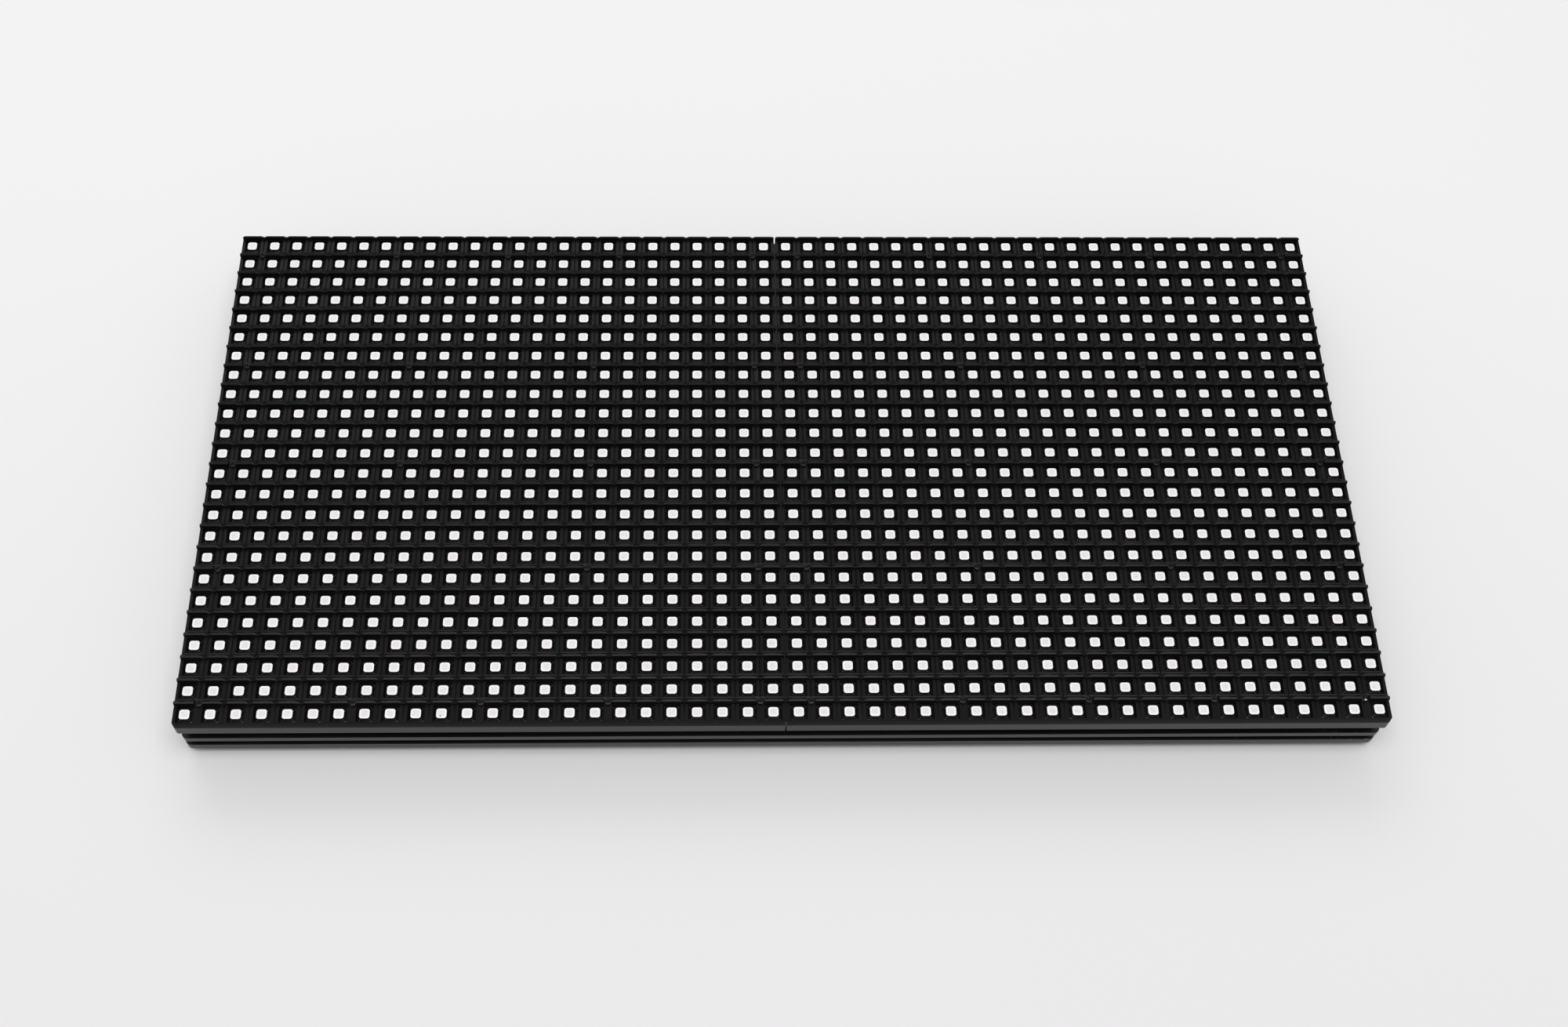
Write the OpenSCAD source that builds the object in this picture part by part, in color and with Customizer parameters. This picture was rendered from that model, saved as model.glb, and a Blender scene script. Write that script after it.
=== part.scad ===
// LED display module: two louvred masks over a board of lamps, carried by a moulded rear case.
// Millimetres. The display faces +Z, its upper edge lies at +Y, and the origin is on the surface
// that the four locating posts stand on, under the middle of the module.

/* [Module] */
// Width of the display face, both masks together
module_w = 320; // [256:1:400]
// Height of the display face
module_h = 160; // [128:1:200]
// Lamps across the width, a multiple of four
columns = 48; // [36:4:60]
// Lamps from the lower to the upper edge, an even number
rows = 24; // [18:2:30]

/* [Lamps] */
// Side of the square lamp package
lamp_side = 2.7; // [2:0.1:3.2]
// Height of the lamp package over the board
lamp_h = 2.5; // [2:0.1:3.2]

/* [Mask] */
// Gap between the masks of neighbouring modules
module_gap = 0.5; // [0.2:0.1:1]
// Gap between the two masks of this module
seam_gap = 0.4; // [0.2:0.1:0.8]
// Width of the window around each lamp
window_w = 4.4; // [3.4:0.1:4.6]
// Distance of a window's lower edge from the middle of its lamp
window_down = 2.05; // [1.7:0.05:2.3]
// Strip of floor between a window and the louvre above it
window_strip = 0.1; // [0.05:0.05:0.6]
// Thickness of the mask plate
mask_t = 1.2; // [0.8:0.1:1.8]
// Height of the lamp faces over the mask floor
lamp_proud = 0.4; // [0:0.1:0.6]
// Depth of the skirt below the mask floor
skirt_h = 5; // [4:0.1:6]
// Thickness of the skirt
skirt_t = 1.1; // [0.8:0.1:1.5]
// Radius of the mask's outer corners
mask_corner_r = 1; // [0.4:0.1:2]
// Height of the bevel along the lower edge
bevel_h = 1.5; // [0.4:0.1:2]
// Width of the bevel along the lower edge
bevel_w = 0.8; // [0.2:0.1:0.9]

/* [Louvres] */
// Height of a louvre over the mask floor
louvre_h = 1.2; // [0.6:0.1:2]
// Thickness of a louvre at its tip
louvre_tip = 0.65; // [0.3:0.05:0.9]
// Distance of the shading face's upper edge below the row boundary
louvre_drop = 0.7; // [0.3:0.05:0.9]
// Lean of the shading face from tip to floor
louvre_lean = 0.1; // [0.05:0.01:0.2]
// Length of the sloped back from tip to floor
louvre_back = 0.9; // [0.3:0.05:1.2]
// Width of the notch between two lamps' louvres
notch_w = 1.7; // [0.8:0.1:2.4]
// Depth of the notch
notch_d = 0.55; // [0.2:0.05:0.8]

/* [Screws] */
// Thread radius of the mask screws
screw_r = 0.8; // [0.6:0.05:1]
// Overhang of a mask screw's head around its thread
head_rim = 0.3; // [0.25:0.05:0.5]
// Head height
head_h = 0.8; // [0.5:0.1:1.2]
// Depth of the head's seat below the mask floor
head_sink = 0.3; // [0.1:0.1:0.5]
// Length of thread inside the rear case
thread_bite = 6; // [4:0.5:9]
// Wall of the mask's boss around a screw
mask_boss_wall = 0.7; // [0.4:0.1:0.8]
// Cells from the middle of a mask to its inner screws in the outer rows
outer_row_step = 5; // [3:1:6]
// Cells from the middle of a mask to its inner screws in the other rows
inner_row_step = 4; // [3:1:5]
// Cells between the rows of inner screws
screw_row_step = 5; // [3:1:6]

/* [Board] */
// Thickness of the circuit board
board_t = 1.6; // [1:0.1:2.4]

/* [Rear case] */
// Depth from the rear rim to the board's seat
case_depth = 13.3; // [11.5:0.1:18]
// Inset of the upper tier from the mask outline along the long sides
upper_inset = 0.9; // [0.6:0.05:1.6]
// Inset of the lower tier from the mask outline along the long sides
lower_inset = 1.05; // [0.6:0.05:1.8]
// Inset of both tiers from the mask outline at the short ends
end_inset = 0.1; // [0:0.05:0.6]
// Height of the lower tier
lower_tier_h = 4.9; // [4:0.1:6]
// Height of the lip at the foot of the upper tier
upper_lip_h = 1.9; // [1:0.1:3]
// Height of the lip at the foot of the lower tier
lower_lip_h = 2.2; // [1:0.1:3]
// Depth of the grooves above the lips
groove_depth = 1.4; // [0.6:0.1:2]
// Radius of the case's outer corners
case_corner_r = 1.6; // [1.2:0.1:4]
// Thickness of the wall behind the grooves
case_wall = 2; // [1.5:0.1:3]
// Thickness of the rear plate
rear_t = 2.2; // [1.6:0.1:3]
// Plate left between the inserts and the rear windows
rim_margin = 0.7; // [0.4:0.1:3]
// Width of the plate under each rib
rib_w = 9; // [7:0.5:12]
// Width of the plate under the middle of the case
spine_w = 25; // [22:0.5:30]
// Thickness of the ribs
web_t = 2; // [1.2:0.1:3]
// Corner radius of the rear windows
window_r = 1.5; // [1:0.5:5]
// Radius of the screw bosses
boss_r = 2.3; // [2:0.1:3]

/* [Mounting] */
// Cells from the middle of a mask to its corner inserts
insert_step = 8; // [7:1:9]
// Plate left between the seal and the inserts
insert_gap = 0.9; // [0.6:0.1:2]
// Outer radius of the threaded inserts
insert_r = 2.8; // [2.4:0.1:3.4]
// Radius of the insert's threaded hole
insert_hole_r = 1.65; // [1.2:0.05:2]
// Length of the inserts
insert_len = 8; // [5:0.5:10]
// Wall of the boss around an insert
insert_wall = 1.4; // [1:0.1:2]
// Radius of the locating posts
post_r = 2.5; // [2:0.1:3]
// Height of the locating posts over the rear rim
post_h = 3; // [2:0.1:6]
// Distance of the posts from the corner inserts
post_offset = 10; // [8:0.5:14]

/* [Seal] */
// Width of the rear seal
seal_w = 1.7; // [1:0.1:2.4]
// Height of the rear seal
seal_h = 1.8; // [1.2:0.1:2.4]
// Depth of the seal's groove
seal_sink = 1; // [0.6:0.1:1.4]
// Distance of the seal from the lower tier's outline
seal_edge = 0.8; // [0.6:0.1:1.4]

/* [Connectors] */
// Contacts in each of a data header's two rows
data_contacts = 8; // [5:1:10]
// Spacing of the data contacts
data_pitch = 2.54; // [2:0.01:2.54]
// Length of a data header beyond its end contacts
data_ends = 10.3; // [8:0.1:12]
// Width of a data header
data_w = 8.9; // [7.5:0.1:10]
// Height of a data header under the board
data_h = 9.1; // [7:0.1:10]
// Wall of a data header
data_wall = 1.2; // [0.8:0.1:1.6]
// Thickness of a data header's floor
data_floor = 1.8; // [1:0.1:3]
// Width of the key slot
key_w = 4.5; // [3:0.1:6]
// Side of a data pin
data_pin = 0.64; // [0.4:0.02:0.8]
// Length of a data pin inside its header
data_pin_len = 6; // [4:0.1:6.4]
// Contacts of the power header
power_contacts = 4; // [2:1:5]
// Spacing of the power contacts
power_pitch = 3.96; // [3:0.01:5]
// Width of the power header
power_w = 8.5; // [7:0.1:10]
// Height of the power header's base
power_base_h = 3.4; // [2:0.1:5]
// Height of the power header's latch wall
power_h = 8.8; // [6:0.1:10]
// Thickness of the latch wall
latch_t = 1.2; // [0.8:0.1:1.6]
// Side of a power pin
power_pin = 1.14; // [0.8:0.02:1.4]
// Length of a power pin below the base
power_pin_len = 4.6; // [3:0.1:6]
// Depth of the trimmed pin ends below the board's front
pin_stop = 0.2; // [0:0.1:0.6]

/* [Chips] */
// Size of a driver chip's body
driver_size = [8.7, 3.9, 1.6]; // [0.5:0.1:12]
// Size of a buffer chip's body
buffer_size = [6.5, 4.4, 1.1]; // [0.5:0.1:12]
// Size of a row switch's body
switch_size = [4.9, 3.9, 1.6]; // [0.5:0.1:12]
// Size of the row decoder's body
decoder_size = [9.9, 3.9, 1.6]; // [0.5:0.1:12]
// Size of a ceramic capacitor
ceramic_size = [1.6, 0.8, 0.8]; // [0.3:0.1:3.2]
// Size of a resistor
resistor_size = [1.6, 0.8, 0.5]; // [0.3:0.1:3.2]
// Distance of the chips and headers from the middle of their window
part_offset = 9; // [8:0.5:11]
// Distance between the driver chips of one window
driver_step = 19; // [14:0.5:20]
// Distance of a driver's ceramic capacitor from the driver
ceramic_gap = 3.2; // [2:0.1:5]
// Distance between neighbouring resistors
resistor_step = 2.4; // [1.2:0.1:4]
// Radius of a bulk capacitor's can
can_r = 3.15; // [2:0.05:4]
// Height of a bulk capacitor
can_h = 7.7; // [5:0.1:9]
// Height of a bulk capacitor's base
can_base_h = 1; // [0.6:0.1:1.5]
// Side of a bulk capacitor's base
can_base = 6.6; // [4.2:0.1:8.4]

/* [Fits] */
// Clearance around the screws in the mask and the board
screw_clear = 0.2; // [0.1:0.05:0.4]
// Clearance around the screw heads
head_clear = 0.25; // [0.15:0.05:0.3]
// Clearance of threads, inserts and pins in plastic
fit_clear = 0.05; // [0.02:0.01:0.1]
// Clearance of the board inside the mask's skirt
board_clear = 0.3; // [0.2:0.1:0.5]
// Gap between the skirt and the rear case under it
tier_gap = 0.2; // [0.1:0.1:0.5]

/* [Hidden] */
$fn = 32;

// Grid of the lamps, and the middle of one mask
pitch_x = module_w / columns;
pitch_y = module_h / rows;
half_columns = columns / 2;
half_x = module_w / 4;

// Heights, from the posts' feet up to the louvre tips
z_rim = post_h;
z_plate = z_rim + rear_t;
z_seat = z_rim + case_depth;
z_board = z_seat + board_t;
z_lamp = z_board + lamp_h;
z_floor = z_lamp - lamp_proud;
z_under = z_floor - mask_t;
z_skirt = z_floor - skirt_h;
z_tip = z_floor + louvre_h;
z_head = z_floor - head_sink;

// Outlines, each as a distance from the module's nominal edge
mask_edge = module_gap / 2;
board_edge = mask_edge + skirt_t + board_clear;
upper_edge = mask_edge + upper_inset;
lower_edge = mask_edge + lower_inset;
wall_edge = max(upper_edge, lower_edge) + groove_depth;
cavity_edge = wall_edge + case_wall;
seal_out = lower_edge + seal_edge;
insert_edge = seal_out + seal_w + insert_gap + insert_r;
rim_w = insert_edge + insert_r + rim_margin;

// Mask screws on the crossings of the grid, in cells from the middle of one mask
edge_cells = half_columns / 2 - 1;
edge_rows = rows / 2 - 1;
outer_row_cells = [-edge_cells, -outer_row_step, 0, outer_row_step, edge_cells];
inner_row_cells = [-edge_cells, -inner_row_step, inner_row_step, edge_cells];
half_screws = [
  for (y = [-edge_rows, edge_rows], x = outer_row_cells) [x * pitch_x, y * pitch_y],
  for (y = [-1, 0, 1] * screw_row_step, x = inner_row_cells) [x * pitch_x, y * pitch_y]
];
screw_places = [for (s = [-1, 1], p = half_screws) [s * half_x + p.x, p.y]];
screw_len = z_head - z_seat + thread_bite;
head_r = screw_r + head_rim;
boss_hole_r = screw_r + fit_clear;
mask_hole_r = screw_r + screw_clear;
mask_boss_r = mask_hole_r + mask_boss_wall;
counterbore_r = head_r + head_clear;
louvre_root = head_sink / 2;
window_up = pitch_y / 2 - louvre_drop - louvre_lean - window_strip;

// Ribs under the inner screws, and the windows that they leave in the rear plate
rib_near = half_x - inner_row_step * pitch_x;
rib_far = half_x + inner_row_step * pitch_x;
rib_places = [-rib_far, -rib_near, rib_near, rib_far];
window_spans = [
  [spine_w / 2, rib_near - rib_w / 2],
  [rib_near + rib_w / 2, rib_far - rib_w / 2],
  [rib_far + rib_w / 2, module_w / 2 - rim_w]
];
window_low = rib_w / 2;
window_high = module_h / 2 - rim_w;
window_mid_y = (window_low + window_high) / 2;
function span_mid(span) = (span[0] + span[1]) / 2;

// Mounting inserts and locating posts along the upper and lower rims
insert_x = half_x + insert_step * pitch_x;
insert_y = module_h / 2 - insert_edge;
insert_places = [for (x = [-insert_x, 0, insert_x], s = [-1, 1]) [x, s * insert_y]];
insert_boss_r = insert_r + insert_wall;
post_places = [for (x = [-1, 1], y = [-1, 1]) [x * (insert_x + post_offset), y * insert_y]];

// Parts on the back of the board: drivers on one side of each window, the rest on the other
driver_places = [
  for (s = [-1, 1], t = [-1, 1], span = window_spans, k = [-1, 0, 1])
    [s * span_mid(span) - part_offset, t * window_mid_y + k * driver_step]
];
data_x = span_mid(window_spans[2]) + part_offset;
data_in_place = [-data_x + 2 * part_offset, window_mid_y];
data_out_place = [data_x, window_mid_y];
power_place = [span_mid(window_spans[0]) + part_offset, window_mid_y];
buffer_places = [
  for (k = [-1, 1]) [data_in_place.x, -window_mid_y + k * driver_step / 2],
  [data_out_place.x, -window_mid_y]
];
switch_places = [
  for (s = [-1, 1], k = [-1, 0, 1])
    [s * span_mid(window_spans[1]) + part_offset, -window_mid_y + k * driver_step]
];
decoder_place = [-span_mid(window_spans[0]) + part_offset, -window_mid_y];
can_places = [for (k = [-1, 1]) [power_place.x, -window_mid_y + k * driver_step / 2]];
ceramic_places = [for (p = driver_places) [p.x, p.y + driver_size.y / 2 + ceramic_gap]];
resistor_places = [
  for (k = [-3 : 3]) [-span_mid(window_spans[0]) + part_offset, window_mid_y + k * resistor_step],
  for (k = [-3 : 3]) [span_mid(window_spans[1]) + part_offset, window_mid_y + k * resistor_step]
];
data_len = (data_contacts - 1) * data_pitch + data_ends;
power_len = power_contacts * power_pitch;

// Shapes used by several parts

// Places its children at every lamp of the mask that lies to one side of the middle
module at_lamps(side) {
  for (i = [0 : half_columns - 1], j = [0 : rows - 1])
    translate([side * half_x + (i - (half_columns - 1) / 2) * pitch_x, (j - (rows - 1) / 2) * pitch_y])
      children();
}

// Places its children at each of a list of places
module at_each(places) {
  for (p = places)
    translate(p)
      children();
}

// Rectangle inset from the module's nominal edge, longer at both ends if wanted, with round corners
module inset_outline(inset, r, longer = 0) {
  w = module_w - 2 * inset + 2 * longer;
  h = module_h - 2 * inset;
  square([w - 2 * r, h], center = true);
  square([w, h - 2 * r], center = true);
  for (x = [-1, 1], y = [-1, 1])
    translate([x * (w / 2 - r), y * (h / 2 - r)])
      circle(r);
}

// Board parts hang under the board, flat against it
module under_board(size) {
  translate([-size.x / 2, -size.y / 2, z_seat - size.z])
    cube(size);
}

// Masks

// Outline of one mask, cut off at the seam
module mask_outline(side) {
  intersection() {
    inset_outline(mask_edge, mask_corner_r);
    translate([side * (module_w / 4 + seam_gap / 2), 0])
      square([module_w / 2, module_h], center = true);
  }
}

// Plate with a window for each lamp and a hole for each screw
module mask_plate(side) {
  translate([0, 0, z_under])
    linear_extrude(mask_t)
      difference() {
        mask_outline(side);
        at_lamps(side)
          translate([-window_w / 2, -window_down])
            square([window_w, window_down + window_up]);
        translate([side * half_x, 0])
          at_each(half_screws)
            circle(mask_hole_r);
      }
}

// Skirt along the three outer sides, open at the seam
module mask_skirt(side) {
  inner = mask_edge + skirt_t;
  translate([0, 0, z_skirt])
    linear_extrude(z_under - z_skirt)
      difference() {
        mask_outline(side);
        square([module_w - 2 * inner, module_h - 2 * inner], center = true);
      }
}

// Section of a louvre across the rows: shading face, tip and sloped back
module louvre_section(tip_end, back_end) {
  polygon([
    [-louvre_drop - louvre_lean, z_floor - louvre_root],
    [-louvre_drop - louvre_lean, z_floor],
    [-louvre_drop, z_tip],
    [tip_end, z_tip],
    [back_end, z_floor],
    [back_end, z_floor - louvre_root]
  ]);
}

// All louvres of one mask, one above each row of lamps, notched between the columns
module louvres(side) {
  seam_x = seam_gap / 2;
  outer_x = module_w / 2 - mask_edge;
  length = outer_x - seam_x;
  tip_end = louvre_tip - louvre_drop;
  difference() {
    for (j = [1 : rows])
      translate([side * (seam_x + length / 2), (j - rows / 2) * pitch_y, 0])
        rotate([90, 0, 90])
          linear_extrude(length, center = true)
            if (j < rows)
              louvre_section(tip_end, tip_end + louvre_back);
            else
              louvre_section(min(tip_end, -mask_edge), -mask_edge);
    for (i = [0 : half_columns - 1])
      translate([side * i * pitch_x, 0, z_tip])
        rotate([90, 0, 0])
          linear_extrude(module_h + pitch_y, center = true)
            polygon([[-notch_w, notch_d], [0, -notch_d], [notch_w, notch_d]]);
  }
}

// One mask: plate, skirt, louvres and the bosses that stand on the board
module mask_half(side) {
  difference() {
    union() {
      mask_plate(side);
      mask_skirt(side);
      louvres(side);
      translate([side * half_x, 0, z_board])
        linear_extrude(z_under - z_board)
          at_each(half_screws)
            difference() {
              circle(mask_boss_r);
              circle(mask_hole_r);
            }
    }
    translate([side * half_x, 0, z_head])
      at_each(half_screws)
        cylinder(h = head_sink + louvre_h + head_h, r = counterbore_r);
    translate([0, mask_edge - module_h / 2, z_floor])
      rotate([90, 0, 90])
        linear_extrude(module_w, center = true)
          polygon([[-bevel_w, -bevel_h], [0, -bevel_h], [bevel_w, 0], [0, bevel_h], [-bevel_w, bevel_h]]);
  }
}

module mask_left() {
  color("#1c1c1d")
    mask_half(-1);
}

module mask_right() {
  color("#1c1c1d")
    mask_half(1);
}

// Lamps, each a square package that stands on the board

module lamp_field(side) {
  translate([0, 0, z_board])
    at_lamps(side)
      translate([-lamp_side / 2, -lamp_side / 2, 0])
        cube([lamp_side, lamp_side, lamp_h]);
}

module leds_left() {
  color("#e9e9e6")
    lamp_field(-1);
}

module leds_right() {
  color("#e9e9e6")
    lamp_field(1);
}

// Board, drilled for the mask screws and the header pins

module data_pin_grid() {
  for (i = [0 : data_contacts - 1], s = [-1, 1])
    translate([s * data_pitch / 2, (i - (data_contacts - 1) / 2) * data_pitch])
      children();
}

module power_pin_row() {
  for (i = [0 : power_contacts - 1])
    translate([0, (i - (power_contacts - 1) / 2) * power_pitch])
      children();
}

module circuit_board() {
  color("#14402a")
    translate([0, 0, z_seat])
      linear_extrude(board_t)
        difference() {
          square([module_w - 2 * board_edge, module_h - 2 * board_edge], center = true);
          at_each(screw_places)
            circle(mask_hole_r);
          at_each([data_in_place, data_out_place])
            data_pin_grid()
              square(data_pin + 2 * fit_clear, center = true);
          translate(power_place)
            power_pin_row()
              square(power_pin + 2 * fit_clear, center = true);
        }
}

// Rear case

// Outline of a tier's lip, given its inset along the long sides
module lip_outline(inset) {
  inset_outline(mask_edge + inset, case_corner_r, inset - end_inset);
}

// Outline of a tier at the bottom of the groove that runs round it
module grooved_outline(inset) {
  groove_r = max(case_corner_r - groove_depth, 0.5);
  inset_outline(mask_edge + inset + groove_depth, groove_r, inset - end_inset);
}

// Space inside the case walls
module cavity() {
  square([module_w - 2 * cavity_edge, module_h - 2 * cavity_edge], center = true);
}

// One storey of the case wall
module wall_layer(z0, z1) {
  translate([0, 0, z0])
    linear_extrude(z1 - z0)
      difference() {
        children();
        cavity();
      }
}

// The two tiers, each a lip with a groove above it, and the wall up to the board
module case_walls() {
  z_step = z_rim + lower_tier_h;
  wall_layer(z_rim, z_rim + lower_lip_h)
    lip_outline(lower_inset);
  wall_layer(z_rim + lower_lip_h, z_step)
    grooved_outline(lower_inset);
  wall_layer(z_step, z_step + upper_lip_h)
    lip_outline(upper_inset);
  wall_layer(z_step + upper_lip_h, z_skirt - tier_gap)
    grooved_outline(upper_inset);
  wall_layer(z_skirt - tier_gap, z_seat)
    square([module_w - 2 * wall_edge, module_h - 2 * wall_edge], center = true);
}

// A rear window between two sizes along X, in the upper or the lower row
module rear_window(span, side, row) {
  w = span[1] - span[0] - 2 * window_r;
  h = window_high - window_low;
  translate([side * span_mid(span), row * window_mid_y]) {
    square([w, h], center = true);
    square([w + 2 * window_r, h - 2 * window_r], center = true);
    for (x = [-1, 1], y = [-1, 1])
      translate([x * w / 2, y * (h / 2 - window_r)])
        circle(window_r);
  }
}

// Rear plate with its windows
module case_plate() {
  translate([0, 0, z_rim])
    linear_extrude(rear_t)
      difference() {
        square([module_w - 2 * wall_edge, module_h - 2 * wall_edge], center = true);
        for (span = window_spans, side = [-1, 1], row = [-1, 1])
          rear_window(span, side, row);
      }
}

// Ribs that carry the board between the walls
module case_webs() {
  w = module_w - 2 * cavity_edge;
  h = module_h - 2 * cavity_edge;
  translate([0, 0, z_plate])
    linear_extrude(z_seat - z_plate) {
      square([w, web_t], center = true);
      for (x = concat(rib_places, [-pitch_x, pitch_x]))
        translate([x, 0])
          square([web_t, h], center = true);
    }
}

// Bosses for the mask screws and for the inserts
module case_bosses() {
  translate([0, 0, z_plate])
    linear_extrude(z_seat - z_plate) {
      at_each(screw_places)
        circle(boss_r);
      at_each(insert_places)
        circle(insert_boss_r);
    }
}

// Ring for the seal or its groove, along the rear rim
module seal_ring(clear) {
  difference() {
    inset_outline(seal_out - clear, case_corner_r - seal_edge + clear);
    inset_outline(seal_out + seal_w + clear, case_corner_r - seal_edge);
  }
}

module rear_case() {
  color("#202021")
    difference() {
      union() {
        case_walls();
        case_plate();
        case_webs();
        case_bosses();
        at_each(post_places)
          cylinder(h = z_plate, r = post_r);
      }
      translate([0, 0, z_seat - thread_bite - 1])
        at_each(screw_places)
          cylinder(h = thread_bite + 2, r = boss_hole_r);
      translate([0, 0, z_rim - 1])
        at_each(insert_places)
          cylinder(h = insert_len + 1, r = insert_r + fit_clear);
      translate([0, 0, z_rim - 1])
        linear_extrude(seal_sink + 1)
          seal_ring(fit_clear);
    }
}

module rear_seal() {
  color("#3a3a3c")
    translate([0, 0, z_rim + seal_sink - seal_h])
      linear_extrude(seal_h)
        seal_ring(0);
}

// Mask screws, from the mask floor through the board into the case

module mask_screw() {
  translate([0, 0, z_head])
    cylinder(h = head_h, r = head_r);
  translate([0, 0, z_head - screw_len])
    cylinder(h = screw_len, r = screw_r);
}

module mask_screws() {
  color("#262627")
    at_each(screw_places)
      mask_screw();
}

// Inserts, open at the rear rim

module threaded_inserts() {
  color("#b8923e")
    translate([0, 0, z_rim])
      linear_extrude(insert_len)
        at_each(insert_places)
          difference() {
            circle(insert_r);
            circle(insert_hole_r);
          }
}

// Data headers: a box open at the rear, keyed on one long side, with two rows of pins

module data_shroud(key_side) {
  difference() {
    translate([-data_w / 2, -data_len / 2, z_seat - data_h])
      cube([data_w, data_len, data_h]);
    translate([data_wall - data_w / 2, data_wall - data_len / 2, z_seat - data_h - 1])
      cube([data_w - 2 * data_wall, data_len - 2 * data_wall, data_h - data_floor + 1]);
    translate([key_side * data_w / 2 - data_wall * 1.5, -key_w / 2, z_seat - data_h - 1])
      cube([data_wall * 3, key_w, data_h - data_floor + 1]);
    translate([0, 0, z_seat - data_floor - 1])
      linear_extrude(data_floor + 2)
        data_pin_grid()
          square(data_pin + 2 * fit_clear, center = true);
  }
}

module data_pins() {
  top = z_board - pin_stop;
  bottom = z_seat - data_floor - data_pin_len;
  translate([0, 0, bottom])
    linear_extrude(top - bottom)
      data_pin_grid()
        square(data_pin, center = true);
}

module data_in_shroud() {
  color("#2a2a2b")
    translate(data_in_place)
      data_shroud(-1);
}

module data_in_pins() {
  color("#c9a94f")
    translate(data_in_place)
      data_pins();
}

module data_out_shroud() {
  color("#2a2a2b")
    translate(data_out_place)
      data_shroud(-1);
}

module data_out_pins() {
  color("#c9a94f")
    translate(data_out_place)
      data_pins();
}

// Power header: a base with a latch wall along one side and one row of square pins

module power_housing() {
  color("#e6e2d6")
    translate(power_place)
      difference() {
        union() {
          translate([-power_w / 2, -power_len / 2, z_seat - power_base_h])
            cube([power_w, power_len, power_base_h]);
          translate([power_w / 2 - latch_t, -power_len / 2, z_seat - power_h])
            cube([latch_t, power_len, power_h]);
        }
        translate([0, 0, z_seat - power_base_h - 1])
          linear_extrude(power_base_h + 2)
            power_pin_row()
              square(power_pin + 2 * fit_clear, center = true);
      }
}

module power_pins() {
  top = z_board - pin_stop;
  bottom = z_seat - power_base_h - power_pin_len;
  color("#c8c8c6")
    translate([power_place.x, power_place.y, bottom])
      linear_extrude(top - bottom)
        power_pin_row()
          square(power_pin, center = true);
}

// Chips and other small parts on the back of the board

module driver_chips() {
  color("#2b2b2d")
    at_each(driver_places)
      under_board(driver_size);
}

module buffer_chips() {
  color("#2b2b2d")
    at_each(buffer_places)
      under_board(buffer_size);
}

module row_switch_chips() {
  color("#2b2b2d")
    at_each(switch_places)
      under_board(switch_size);
}

module row_decoder_chip() {
  color("#2b2b2d")
    translate(decoder_place)
      under_board(decoder_size);
}

module chip_capacitors() {
  color("#b59a72")
    at_each(ceramic_places)
      under_board(ceramic_size);
}

module chip_resistors() {
  color("#222224")
    at_each(resistor_places)
      under_board(resistor_size);
}

module bulk_capacitors() {
  color("#c4c6c8")
    at_each(can_places) {
      under_board([can_base, can_base, can_base_h]);
      translate([0, 0, z_seat - can_h])
        cylinder(h = can_h - can_base_h, r = can_r);
    }
}

mask_left();
mask_right();
leds_left();
leds_right();
circuit_board();
rear_case();
rear_seal();
mask_screws();
threaded_inserts();
data_in_shroud();
data_in_pins();
data_out_shroud();
data_out_pins();
power_housing();
power_pins();
driver_chips();
buffer_chips();
row_switch_chips();
row_decoder_chip();
chip_capacitors();
chip_resistors();
bulk_capacitors();
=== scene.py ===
"""Looks of an LED display module: louvred masks, lamps, potting, screws, board parts and rear case.

Sizes are millimetres in the part's own frame: +X along the long side, +Y towards the upper edge,
+Z out of the display face. Meshes are written in metres.
"""

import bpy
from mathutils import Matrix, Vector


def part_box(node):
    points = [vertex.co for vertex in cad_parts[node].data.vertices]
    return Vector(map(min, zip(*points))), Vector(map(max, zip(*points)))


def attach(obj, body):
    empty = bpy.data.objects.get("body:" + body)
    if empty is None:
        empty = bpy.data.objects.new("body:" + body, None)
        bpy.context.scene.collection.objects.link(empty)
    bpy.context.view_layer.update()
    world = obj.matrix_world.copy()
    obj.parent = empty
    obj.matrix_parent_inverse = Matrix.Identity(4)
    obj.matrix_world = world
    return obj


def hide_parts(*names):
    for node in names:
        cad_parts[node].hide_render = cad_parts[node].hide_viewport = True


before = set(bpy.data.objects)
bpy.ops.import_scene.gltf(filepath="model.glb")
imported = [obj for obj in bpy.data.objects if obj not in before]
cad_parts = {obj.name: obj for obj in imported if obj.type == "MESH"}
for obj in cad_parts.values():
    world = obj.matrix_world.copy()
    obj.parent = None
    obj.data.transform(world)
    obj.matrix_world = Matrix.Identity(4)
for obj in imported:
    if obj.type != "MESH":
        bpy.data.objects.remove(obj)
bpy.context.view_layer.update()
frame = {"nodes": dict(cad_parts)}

import logging
import math
from dataclasses import dataclass
from enum import Enum
from typing import Any, Optional, Sequence, Union

import bmesh
import bpy
import numpy as np
from mathutils import Matrix, Vector

LOG = logging.getLogger("led_module")
MM = 0.001
BODY = "root"
# Points join within WELD, in metres. Lines match within TOUCH, and TINY keeps a divisor off zero.
WELD = 2e-7
TOUCH = 1e-6
TINY = 1e-9
Array = np.ndarray
Material = bpy.types.Material
Triple = tuple[float, float, float]
Color = Triple


class Side(Enum):
    """Which half of the module a mask or a field of lamps belongs to."""

    LEFT = -1
    RIGHT = 1


class Metal(Enum):
    """Colour of each bare metal."""

    GOLD = (0.76, 0.55, 0.22)
    TIN = (0.62, 0.62, 0.60)
    DARK_TIN = (0.05, 0.05, 0.052)
    BRASS = (0.66, 0.47, 0.19)
    ALUMINIUM = (0.72, 0.73, 0.74)


# Shader expressions


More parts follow.
